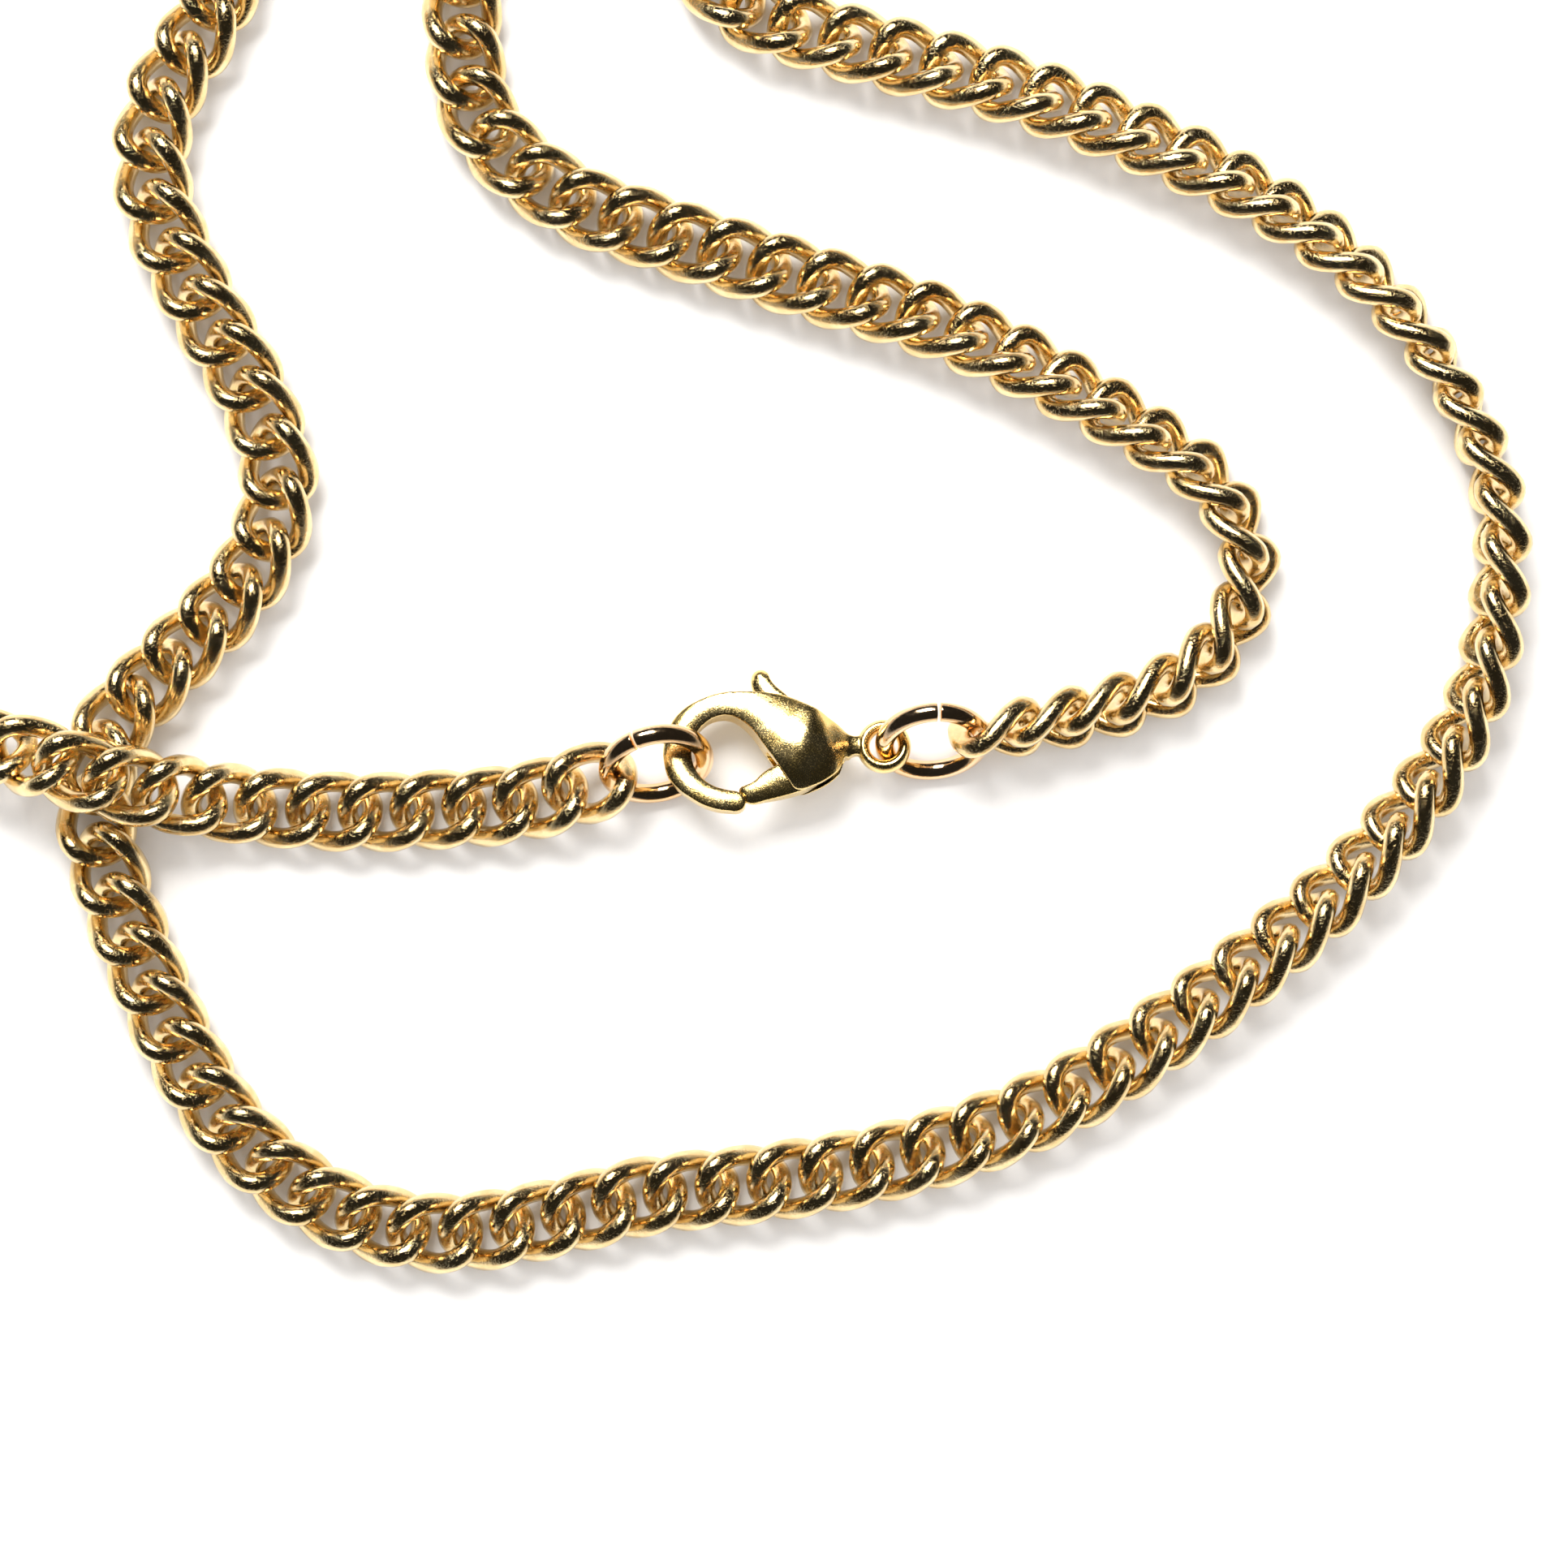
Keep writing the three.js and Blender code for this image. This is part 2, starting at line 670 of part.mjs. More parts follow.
// The place where the loop passes over itself: the later strand's lifted link and the run below.
function crossing() {
  const top = route.reduce((highest, point, i) => (
    i > openLink && point.z > route[highest].z && i < linkCount - SINGLE_LINKS / 2 ? i : highest
  ), openLink);
  const flatGap = (piece) => Math.hypot(middleLink(piece).x - route[top].x, middleLink(piece).y - route[top].y);
  const early = chain.filter((piece) => piece.first < openLink);
  const under = early.reduce((best, piece) => (flatGap(piece) < flatGap(best) ? piece : best));
  const over = chain.find((piece) => top >= piece.first && top < piece.first + piece.count);
  return { at: route[top].clone(), under: chain.indexOf(under), over: chain.indexOf(over) };
}

function ringEnd(centre, direction) {
  return centre.clone().add(new THREE.Vector3(direction * ringRadius, 0, 0));
}

function between(a, b) {
  return a.clone().add(b).multiplyScalar(0.5);
}

const cross = crossing();

// Adds a hinge to a node: its parent, its place, its axis and its travel.
function hinge(name, parent, at, towards, travelDeg, liftsCrossing) {
  const reach = towards.clone().setZ(0).normalize();
  if (liftsCrossing) {
    const toCrossing = cross.at.clone().sub(at).setZ(0).normalize();
    reach.add(toCrossing).normalize();
  }
  const axis = new THREE.Vector3(reach.y, -reach.x, 0);
  necklace.getObjectByName(name).userData.hinge = { parent, at, axis, travelDeg };
}

// Hinges between two neighbouring pieces of chain, the second hanging on the first.
function chainHinge(parent, child, liftsCrossing) {
  const forwards = child.first > parent.first;
  const from = forwards ? parent.first + parent.count - 1 : parent.first;
  const to = forwards ? child.first : child.first + child.count - 1;
  const travel = parent.count === 1 || child.count === 1 ? LINK_SWING_DEG : RUN_SWING_DEG;
  const towards = route[to].clone().sub(route[from]);
  hinge(child.name, parent.name, between(route[from], route[to]), towards, travel, liftsCrossing);
}

for (let i = cross.under + 1; chain[i].first < openLink; i += 1) {
  chainHinge(chain[i - 1], chain[i], false);
}
for (let i = cross.under - 1; i >= 0; i -= 1) {
  chainHinge(chain[i + 1], chain[i], true);
}
const west = new THREE.Vector3(-1, 0, 0);
const firstLink = route[0];
const lastLink = route[linkCount - 1];
const lastPiece = chain.length - 1;
hinge('jump_ring_right', chain[0].name, between(ringEnd(rightRingCentre, 1), firstLink), west, RING_SWING_DEG, true);
hinge('clasp_body', 'jump_ring_right', onClasp(eyeCentre), west, RING_SWING_DEG, true);
const hookContact = between(onClasp(hookBend), ringEnd(leftRingCentre, 1));
hinge('jump_ring_left', 'clasp_body', hookContact, west, RING_SWING_DEG, true);
const leftContact = between(ringEnd(leftRingCentre, -1), lastLink);
hinge(chain[lastPiece].name, 'jump_ring_left', leftContact, west, RING_SWING_DEG, true);
for (let i = lastPiece - 1; chain[i].first > openLink; i -= 1) {
  chainHinge(chain[i + 1], chain[i], i >= cross.over);
}
necklace.getObjectByName('clasp_lever').userData.hinge = {
  parent: 'clasp_body',
  at: new THREE.Vector3(0, 0, claspHeight),
  axis: new THREE.Vector3(0, 0, -1).applyEuler(clasp.rotation),
  travelDeg: LEVER_TRAVEL_DEG,
};

// ---------------------------------------------------------------- stand the necklace on its origin
const box = new THREE.Box3().setFromObject(necklace, true);
const middle = box.getCenter(new THREE.Vector3());
necklace.position.set(-middle.x, -middle.y, -box.min.z);

export default necklace;
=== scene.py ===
"""A gold curb-chain necklace with a lobster clasp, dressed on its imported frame.

Pieces are modelled in millimetres about their own middles and set into the necklace's frame in
metres when they are finished. The chain's links follow the same route as the frame's own pieces.
"""

from __future__ import annotations

import logging
import math
from collections.abc import Iterator, Sequence
from contextlib import contextmanager
from dataclasses import dataclass
from enum import Enum

import bpy
from mathutils import Matrix, Vector


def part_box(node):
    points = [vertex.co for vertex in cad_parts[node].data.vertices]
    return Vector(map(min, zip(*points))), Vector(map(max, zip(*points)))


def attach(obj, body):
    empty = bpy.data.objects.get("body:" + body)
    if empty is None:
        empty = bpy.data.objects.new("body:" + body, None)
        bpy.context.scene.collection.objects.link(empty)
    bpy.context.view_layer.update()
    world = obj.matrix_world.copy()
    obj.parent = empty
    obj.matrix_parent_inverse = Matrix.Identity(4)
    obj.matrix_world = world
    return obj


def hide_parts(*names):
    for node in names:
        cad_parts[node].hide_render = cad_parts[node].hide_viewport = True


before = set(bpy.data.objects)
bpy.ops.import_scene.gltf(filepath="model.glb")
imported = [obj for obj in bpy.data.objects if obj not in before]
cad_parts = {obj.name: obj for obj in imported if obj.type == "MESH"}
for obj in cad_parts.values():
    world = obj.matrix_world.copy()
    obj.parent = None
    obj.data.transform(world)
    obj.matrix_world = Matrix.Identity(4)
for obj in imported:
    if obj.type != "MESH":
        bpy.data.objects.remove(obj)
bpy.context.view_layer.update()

LOG = logging.getLogger("necklace")
MM = 0.001
TO_METRES = Matrix.Scale(MM, 4)
WELD_MM = 1e-4  # corners closer than this are one corner
SHARP_DEG = 60.0  # edges that turn by more than this are rounded

Point = tuple[float, float]
Colour = tuple[float, float, float]
Triple = tuple[float, float, float]


class Slot(Enum):
    """The record's material slots."""

    CHAIN = "chain_gold"
    RING = "ring_gold"
    CLASP = "clasp_gold"
    STEEL = "spring_steel"


# ---------------------------------------------------------------- bench tools


def drop_selection() -> None:
    """Deselects everything."""
    bpy.ops.object.select_all(action="DESELECT")


def pick_only(piece: bpy.types.Object) -> None:
    """Selects one object alone and makes it active.

    Args:
        piece: The object.
    """
    drop_selection()
    piece.select_set(True)
    bpy.context.view_layer.objects.active = piece


@contextmanager
def editing(piece: bpy.types.Object) -> Iterator[None]:
    """Opens a piece in edit mode and closes it again.

    Args:
        piece: The piece to edit.

    Yields:
        Nothing, while the piece is open.
    """
    pick_only(piece)
    bpy.ops.object.mode_set(mode="EDIT")
    yield
    bpy.ops.object.mode_set(mode="OBJECT")


def added(name: str) -> bpy.types.Object:
    """Names the object that an add operator has just made.

    Args:
        name: The new object's name, which its mesh or curve takes too.

    Returns:
        The object.
    """
    piece = bpy.context.view_layer.objects.active
    piece.name = piece.data.name = name
    return piece


def settle(piece: bpy.types.Object) -> None:
    """Applies an object's own place, turn and size to its mesh."""
    pick_only(piece)
    bpy.ops.object.transform_apply(location=True, rotation=True, scale=True)


def modify(piece: bpy.types.Object, kind: str, **settings: object) -> None:
    """Adds a modifier to a piece and applies it.

    Args:
        piece: The piece to change.
        kind: The modifier's type.
        **settings: The modifier's properties.
    """
    pick_only(piece)
    modifier = piece.modifiers.new(kind.title(), kind)
    for key, value in settings.items():
        setattr(modifier, key, value)
    bpy.ops.object.modifier_apply(modifier=modifier.name)


def carve(piece: bpy.types.Object, tool: bpy.types.Object, operation: str) -> None:
    """Joins, cuts or intersects a piece with a tool solid, and removes the tool."""
    modify(piece, "BOOLEAN", object=tool, operation=operation, solver="EXACT")
    bpy.data.objects.remove(tool)


def round_edges(piece: bpy.types.Object, width: float, segments: int) -> None:
    """Rounds a piece's sharp edges."""
    limit = math.radians(SHARP_DEG)
    modify(piece, "BEVEL", width=width, segments=segments, limit_method="ANGLE", angle_limit=limit)


def copied(pattern: bpy.types.Object) -> bpy.types.Object:
    """Copies an object, with a mesh of its own.

    Args:
        pattern: The object that is copied.

    Returns:
        The copy.
    """
    copy = pattern.copy()
    copy.data = pattern.data.copy()
    bpy.context.scene.collection.objects.link(copy)
    return copy


def join(pieces: Sequence[bpy.types.Object], name: str) -> bpy.types.Object:
    """Joins several objects into one mesh.

    Args:
        pieces: The objects, of which the first one stays.
        name: The joined object's name.

    Returns:
        The joined object.
    """
    pick_only(pieces[0])
    for piece in pieces[1:]:
        piece.select_set(True)
    if len(pieces) > 1:
        bpy.ops.object.join()
    return added(name)


def smooth(piece: bpy.types.Object, sharp_deg: float) -> None:
    """Shades a piece smooth except across edges sharper than an angle."""
    pick_only(piece)
    bpy.ops.object.shade_smooth_by_angle(angle=math.radians(sharp_deg))


def face_outwards(piece: bpy.types.Object) -> None:
    """Merges doubled corners and turns all faces outwards.

    Args:
        piece: The piece to mend.
    """
    with editing(piece):
        bpy.ops.mesh.select_all(action="SELECT")
        bpy.ops.mesh.remove_doubles(threshold=WELD_MM)
        bpy.ops.mesh.normals_make_consistent(inside=False)


def drawn_line(
    name: str, points: Sequence[Sequence[float]], closed: bool
) -> bpy.types.Object:
    """Draws a smooth curve through points.

    Args:
        name: The curve's name.
        points: Places in millimetres, as x, y or x, y, z.
        closed: Whether the last point runs on to the first.

    Returns:
        The curve object.
    """
    drop_selection()
    bpy.ops.curve.primitive_bezier_circle_add(radius=1)
    line = added(name)
    with editing(line):
        bpy.ops.curve.select_all(action="SELECT")
        bpy.ops.curve.delete(type="VERT")
        for point in points:
            bpy.ops.curve.vertex_add(location=Vector(point).to_3d())
        bpy.ops.curve.select_all(action="SELECT")
        bpy.ops.curve.handle_type_set(type="AUTOMATIC")
        if closed:
            bpy.ops.curve.cyclic_toggle()
    return line


def meshed(curve: bpy.types.Object) -> bpy.types.Object:
    """Turns a curve object into a mesh of the same name.

    Args:
        curve: The curve object.

    Returns:
        The object, now a mesh.
    """
    pick_only(curve)
    name = curve.name
    bpy.ops.object.convert(target="MESH")
    return added(name)


def bar(
    name: str, points: Sequence[Sequence[float]], radii: Sequence[float], sides: int, steps: int,
    closed: bool = False,
) -> bpy.types.Object:
    """Makes a round bar along a smooth line.

    Args:
        name: The bar's name.
        points: The points on its middle line, in millimetres.
        radii: Its radius at each point.
        sides: How many sides its section has, a multiple of four.
        steps: How many sections lie between two points.
        closed: Whether it is a closed ring.

    Returns:
        The bar as a mesh.
    """
    line = drawn_line(name, points, closed)
    line.data.dimensions = "3D"
    line.data.bevel_depth = 1.0
    line.data.bevel_resolution = sides // 4 - 1
    line.data.resolution_u = steps
    line.data.use_fill_caps = not closed
    for point, radius in zip(line.data.splines[0].bezier_points, radii, strict=True):
        point.radius = radius
    return meshed(line)


def slab(name: str, outline: Sequence[Point], thick: float, steps: int = 5) -> bpy.types.Object:
    """Makes a plate with a smooth outline, about z = 0.

    Args:
        name: The plate's name.
        outline: The points that its outline passes, in millimetres.
        thick: Its thickness.
        steps: How many steps its outline takes between two points.

    Returns:
        The plate as a mesh.
    """
    line = drawn_line(name, outline, closed=True)
    line.data.dimensions = "2D"
    line.data.fill_mode = "BOTH"
    line.data.resolution_u = steps
    line.data.extrude = thick / 2
    plate = meshed(line)
    face_outwards(plate)
    return plate


def peg(name: str, diameter: float, height: float, edge: float = 0.0) -> bpy.types.Object:
    """Makes an upright cylinder about z = 0, with its edges rounded.

    Args:
        name: The cylinder's name.
        diameter: Its diameter in millimetres.
        height: Its height.
        edge: The width of its rounded edges.

    Returns:
        The cylinder as a mesh.
    """
    drop_selection()
    bpy.ops.mesh.primitive_cylinder_add(
        vertices=32, radius=diameter / 2, depth=height, location=(0, 0, 0)
    )
    pin = added(name)
    settle(pin)
    if edge:
        round_edges(pin, edge, segments=3)
    return pin


def set_in_place(piece: bpy.types.Object, place: Matrix) -> None:
    """Moves a finished mesh from its own millimetres to the necklace's frame in metres."""
    piece.data.transform(TO_METRES @ place)
    piece.data.update()


def dress(
    piece: bpy.types.Object, body: str, nodes: Sequence[str],
    finish: bpy.types.Material,
) -> None:
    """Gives a finished piece its material, its body and the nodes that it stands for.

    Args:
        piece: The finished piece.
        body: The body that it rides on.
        nodes: The nodes that it stands for, or none.
        finish: Its material.
    """
    piece.data.materials.clear()
    piece.data.materials.append(finish)
    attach(piece, body)
    if nodes:
        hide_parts(*nodes)
    LOG.info("%s rides on %s", piece.name, body)


# ---------------------------------------------------------------- finishes


class Num:
    """A value in a shader, on which arithmetic adds Math nodes."""

    def __init__(self, bench: NodeBench, socket: bpy.types.NodeSocket) -> None:
        """Wraps an output socket."""
        self.bench = bench
        self.socket = socket

    def _math(self, operation: str, first: Num | float, second: Num | float) -> Num:
        """Adds one Math node."""
        node = self.bench.add("ShaderNodeMath", {"operation": operation}, {0: first, 1: second})
        return Num(self.bench, node.outputs[0])

    def __add__(self, other: Num | float) -> Num:
        """Adds a value."""
        return self._math("ADD", self, other)

    __radd__ = __add__

    def __sub__(self, other: Num | float) -> Num:
        """Takes a value away."""
        return self._math("SUBTRACT", self, other)

    def __rsub__(self, other: Num | float) -> Num:
        """Is taken away from a value."""
        return self._math("SUBTRACT", other, self)

    def __mul__(self, other: Num | float) -> Num:
        """Multiplies by a value."""
        return self._math("MULTIPLY", self, other)

    __rmul__ = __mul__

    def over(self, low: float, high: float) -> Num:
        """Rises from 0 at one value to 1 at another, and stays between them.

        Args:
            low: The value at which it is 0.
            high: The value at which it is 1.

        Returns:
            The risen value.
        """
        node = self.bench.add(
            "ShaderNodeMapRange", {"clamp": True, "interpolation_type": "SMOOTHSTEP"},
            {"Value": self, "From Min": low, "From Max": high},
        )
        return Num(self.bench, node.outputs["Result"])


class NodeBench:
    """A node tree, with the one method that adds its nodes."""

    def __init__(self, tree: bpy.types.NodeTree) -> None:
        """Takes the tree to work on."""
        self.tree = tree

    def add(
        self, kind: str, settings: dict[str, object] | None = None,
        values: dict[str | int, object] | None = None,
    ) -> bpy.types.Node:
        """Adds a node, sets it, and fills or links its sockets.

        Args:
            kind: The node's type.
            settings: Its properties, which are set first. A key "stops" holds a ramp's stops.
            values: What goes into each of its sockets: a number, a colour, a link or a Num.

        Returns:
            The node.
        """
        node = self.tree.nodes.new(kind)
        for key, value in (settings or {}).items():
            if key == "stops":
                self._set_stops(node.color_ramp, value)
            else:
                setattr(node, key, value)
        for key, value in (values or {}).items():
            self.feed(node.inputs[key], value)
        return node

    @staticmethod
    def _set_stops(ramp: bpy.types.ColorRamp, stops: Sequence[tuple[float, Colour]]) -> None:
        """Gives a ramp its stops.

        Args:
            ramp: The ramp.
            stops: The place and the colour of each stop, in order.
        """
        while len(ramp.elements) < len(stops):
            ramp.elements.new(1.0)
        for element, (place, colour) in zip(ramp.elements, stops, strict=True):
            element.position = place
            element.color = (*colour, 1.0)

    def feed(self, socket: bpy.types.NodeSocket, value: object) -> None:
        """Sets a socket to a constant, or links it.

        Args:
            socket: The socket.
            value: A number, a colour, another node's output or a Num.
        """
        if isinstance(value, Num):
            self.tree.links.new(value.socket, socket)
        elif isinstance(value, bpy.types.NodeSocket):
            self.tree.links.new(value, socket)
        elif isinstance(value, tuple) and len(value) == 3 and socket.type == "RGBA":
            socket.default_value = (*value, 1.0)
        else:
            socket.default_value = value

    def blend(self, share: object, low: object, high: object) -> bpy.types.NodeSocket:
        """Mixes two colours.

        Args:
            share: How much of the second colour there is, as a Num or a link.
            low: The first colour.
            high: The second colour.

        Returns:
            The mixed colour.
        """
        node = self.add(
            "ShaderNodeMix", {"data_type": "RGBA"}, {"Factor": share, 6: low, 7: high}
        )
        return node.outputs[2]


class MaterialBench(NodeBench):
    """One material's node tree, with its Principled shader at hand."""

    def __init__(self, name: str) -> None:
        """Makes the material.

        Args:
            name: The material's name.
        """
        self.material = bpy.data.materials.new(name)
        self.material.use_nodes = True
        super().__init__(self.material.node_tree)
        self.shader = self.tree.nodes["Principled BSDF"]
        self.place = self.add("ShaderNodeTexCoord").outputs["Object"]

    def shade(self, socket: str, value: object) -> None:
        """Sets or links one of the shader's sockets."""
        self.feed(self.shader.inputs[socket], value)

    def noise(self, grain_mm: float, detail: float = 2.0, stretch: Triple | None = None) -> Num:
        """Adds a cloudy pattern.

        Args:
            grain_mm: The size of its spots in millimetres.
            detail: How many finer layers it has.
            stretch: How much finer it is along each axis.

        Returns:
            The pattern, about 0.5.
        """
        place = self.place
        if stretch is not None:
            mapping = self.add("ShaderNodeMapping", values={"Vector": place, "Scale": stretch})
            place = mapping.outputs[0]
        scale = 1 / (grain_mm * MM)
        node = self.add(
            "ShaderNodeTexNoise", values={"Vector": place, "Scale": scale, "Detail": detail}
        )
        return Num(self, node.outputs["Fac"])

    def bump(self, height: Num, depth_mm: float, strength: float) -> None:
        """Bumps the shader's surface by a height of 0 to 1.

        Args:
            height: The height.
            depth_mm: How far 1 stands over 0, in millimetres.
            strength: How much of it shows.
        """
        distance = depth_mm * MM
        node = self.add(
            "ShaderNodeBump", values={"Height": height, "Distance": distance, "Strength": strength}
        )
        self.shade("Normal", node.outputs[0])


@dataclass(frozen=True)
class Scratches:
    """Fine scratches one way: their size against the mottling, their stretch and their mask."""

    size: float
    stretch: Triple
    low: float
    high: float

    def mask(self, bench: MaterialBench, mottle_mm: float) -> Num:
        """Adds them to a material, as a mask of 0 to 1."""
        return bench.noise(mottle_mm * self.size, 2.0, self.stretch).over(self.low, self.high)


@dataclass(frozen=True)
class GoldFinish:
    """Plated gold: its colours, polish, fine mottling and scratches."""

    name: str
    light: Colour
    deep: Colour
    polish: float
    dull: float
    mottle_mm: float
    mottle_depth_mm: float
    scratch: float
    tint_size: float = 14.0
    tint_range: Point = (0.35, 0.65)
    dull_range: Point = (0.4, 0.75)
    lengthwise: Scratches = Scratches(2.2, (1.0, 7.0, 3.0), 0.58, 0.72)
    crosswise: Scratches = Scratches(2.0, (8.0, 1.0, 4.0), 0.6, 0.74)
    scratch_dulling: float = 0.12
    scratch_relief: float = 0.5
    relief: float = 0.6

    def material(self) -> bpy.types.Material:
        """Builds the material.

        Returns:
            The finished material.
        """
        bench = MaterialBench(self.name)
        tint = bench.noise(self.mottle_mm * self.tint_size, 3.0)
        mottle = bench.noise(self.mottle_mm, 4.0)
        lengthwise = self.lengthwise.mask(bench, self.mottle_mm)
        crosswise = self.crosswise.mask(bench, self.mottle_mm)
        marks = (lengthwise + crosswise) * self.scratch
        bench.shade("Base Color", bench.blend(tint.over(*self.tint_range), self.light, self.deep))
        dullness = mottle.over(*self.dull_range) * (self.dull - self.polish) + self.polish
        bench.shade("Roughness", dullness + marks * self.scratch_dulling)
        bench.shade("Metallic", 1.0)
        bench.bump(mottle + marks * self.scratch_relief, self.mottle_depth_mm, self.relief)
        return bench.material


@dataclass(frozen=True)
class SteelFinish:
    """Drawn spring steel: its colours, streaks and polish."""

    name: str
    colour: Colour
    dark: Colour
    streak_mm: float = 0.12
    streak_stretch: Triple = (1.0, 1.0, 5.0)
    streak_range: Point = (0.3, 0.7)
    streak_depth_mm: float = 0.004
    polish: float = 0.2
    dulling: float = 0.25
    relief: float = 0.4

    def material(self) -> bpy.types.Material:
        """Builds the material.

        Returns:
            The finished material.
        """
        bench = MaterialBench(self.name)
        streaks = bench.noise(self.streak_mm, 3.0, self.streak_stretch)
        tone = bench.blend(streaks.over(*self.streak_range), self.dark, self.colour)
        bench.shade("Base Color", tone)
        bench.shade("Roughness", streaks * self.dulling + self.polish)
        bench.shade("Metallic", 1.0)
        bench.bump(streaks, self.streak_depth_mm, self.relief)
        return bench.material


CHAIN_GOLD = GoldFinish(
    "ChainGold", (0.93, 0.73, 0.40), (0.79, 0.57, 0.27),
    polish=0.05, dull=0.16, mottle_mm=0.09, mottle_depth_mm=0.016, scratch=0.6,
)
RING_GOLD = GoldFinish(
    "RingGold", (0.93, 0.67, 0.42), (0.84, 0.56, 0.30),
    polish=0.10, dull=0.18, mottle_mm=0.16, mottle_depth_mm=0.004, scratch=0.3,
)
CLASP_GOLD = GoldFinish(
    "ClaspGold", (0.96, 0.74, 0.34), (0.86, 0.62, 0.22),
    polish=0.16, dull=0.32, mottle_mm=0.07, mottle_depth_mm=0.012, scratch=0.2,
)
SPRING_STEEL = SteelFinish("SpringSteel", (0.66, 0.67, 0.69), (0.36, 0.36, 0.38))


# ---------------------------------------------------------------- chain

# Points that the chain's centre line passes, from the right jump ring round to the left one:
# x, y from the rivet in millimetres, roll about the direction of travel in degrees, and lift in
# strand heights.
ROUTE: tuple[tuple[float, float, float, float], ...] = (
    (14.1, 2.5, 70, 0), (18.4, 4.3, 68, 0), (21.2, 8.4, 70, 0),
    (19.8, 13.1, 66, 0), (14.2, 17.3, 52, 0), (6.9, 21.1, 32, 0),
    (-0.3, 23.5, 14, 0), (-7.3, 25.8, 4, 0), (-12.2, 27.7, 0, 0),
    (-16.1, 31.2, 0, 0), (-17.1, 36.0, -2, 0), (-16.6, 41.2, -4, 0),
    (-13.4, 45.2, -6, 0), (-8.8, 45.0, -8, 0), (-6.1, 41.0, -9, 0),
    (-3.6, 37.1, -12, 0), (1.3, 35.3, -20, 0), (6.0, 34.0, -26, 0),
    (10.7, 32.6, -34, 0), (15.5, 30.7, -42, 0), (19.8, 28.7, -50, 0),
    (24.1, 26.1, -60, 0), (28.2, 22.5, -72, 0), (31.4, 18.1, -82, 0),
    (33.3, 13.6, -90, 0), (33.6, 8.8, -97, 0), (32.6, 3.6, -107, 0),
    (30.2, -1.0, -118, 0), (26.5, -5.5, -128, 0), (22.2, -9.4, -138, 0),
    (17.6, -13.0, -147, 0), (12.8, -16.2, -155, 0), (7.6, -18.5, -163, 0),
    (2.3, -19.9, -170, 0), (-2.8, -20.7, -174, 0), (-8.1, -21.3, -178, 0),
    (-13.2, -22.5, -180, 0), (-18.5, -23.1, -182, 0), (-23.5, -21.8, -184, 0),
    (-27.9, -18.5, -187, 0), (-30.8, -14.2, -190, 0), (-32.8, -9.8, -192, 0),
    (-34.3, -5.8, -190, 0), (-35.1, -2.0, -188, 0), (-34.2, 1.7, -190, 0),
    (-31.6, 4.6, -194, 0), (-27.5, 9.2, -198, 0), (-26.1, 13.9, -198, 0),
    (-27.7, 18.6, -198, 0), (-30.3, 23.2, -198, 0), (-32.2, 28.0, -198, 0),
    (-31.8, 32.4, -198, 0), (-29.3, 36.9, -196, 0), (-27.9, 41.7, -194, 0),
    (-29.7, 47.8, -192, 0), (-34.8, 50.2, -190, 0), (-39.9, 47.0, -188, 0),
    (-42.6, 39.6, -186, 0), (-46.0, 32.6, -184, 0), (-49.6, 25.4, -183, 0),
    (-51.8, 17.6, -182, 0), (-50.8, 9.8, -181, 0), (-46.4, 3.9, -180, 0),
    (-40.8, 0.9, -180, 0.36), (-38.2, 0.3, -180, 0.86), (-35.6, -0.5, -180, 1),
    (-32.6, -1.3, -180, 0.84), (-29.8, -1.8, -180, 0.34), (-27.2, -2.2, -180, 0.02),
    (-22.2, -2.5, -180, 0), (-17.0, -2.3, -180, 0), (-14.0, -2.0, -180, 0.1),
)


@dataclass
class CurbLink:
    """One curb link: an oval wire ring whose quarters rise and fall by turns."""

    wire: float = 1.06
    frame_wire: float = 1.02
    length: float = 4.8
    width: float = 3.95
    rise: float = 0.78
    play: float = 0.2
    corners: int = 16
    sides: int = 16
    steps: int = 3
    height_steps: int = 24

    @property
    def half_length(self) -> float:
        """Half the length of the wire's middle line."""
        return (self.length - self.frame_wire) / 2

    @property
    def half_width(self) -> float:
        """Half the width of the wire's middle line."""
        return (self.width - self.frame_wire) / 2

    @property
    def pitch(self) -> float:
        """The distance from one link's middle to the next one's."""
        return self.length - 2 * self.frame_wire - self.play

    @property
    def strand_height(self) -> float:
        """The height of a strand that lies flat."""
        return 2 * self.rise + self.frame_wire

    def half_height(self, roll: float) -> float:
        """Finds half the height of a link that is rolled about its length.

        Args:
            roll: The angle in radians.

        Returns:
            The height in millimetres.
        """
        steps = self.height_steps
        reach = 0.0
        for i in range(steps + 1):
            angle = math.pi / 2 * i / steps
            side = self.half_width * math.sin(angle) * abs(math.sin(roll))
            rise = self.rise * math.sin(2 * angle) * abs(math.cos(roll))
            reach = max(reach, side + rise)
        return reach + self.frame_wire / 2

    def build(self) -> bpy.types.Object:
        """Models the link about its own middle, its length along X.

        Returns:
            The link as a mesh.
        """
        turns = [2 * math.pi * i / self.corners for i in range(self.corners)]
        long, wide, high = self.half_length, self.half_width, self.rise
        points = [(long * math.cos(t), wide * math.sin(t), -high * math.sin(2 * t)) for t in turns]
        radii = [self.wire / 2] * self.corners
        link = bar("link_pattern", points, radii, self.sides, self.steps, closed=True)
        face_outwards(link)
        smooth(link, sharp_deg=180)
        return link


@dataclass
class RingPlace:
    """Where a jump ring hangs: its middle, its turn in plan and the angle of its cut."""

    middle: Vector
    turn_deg: float
    cut_deg: float


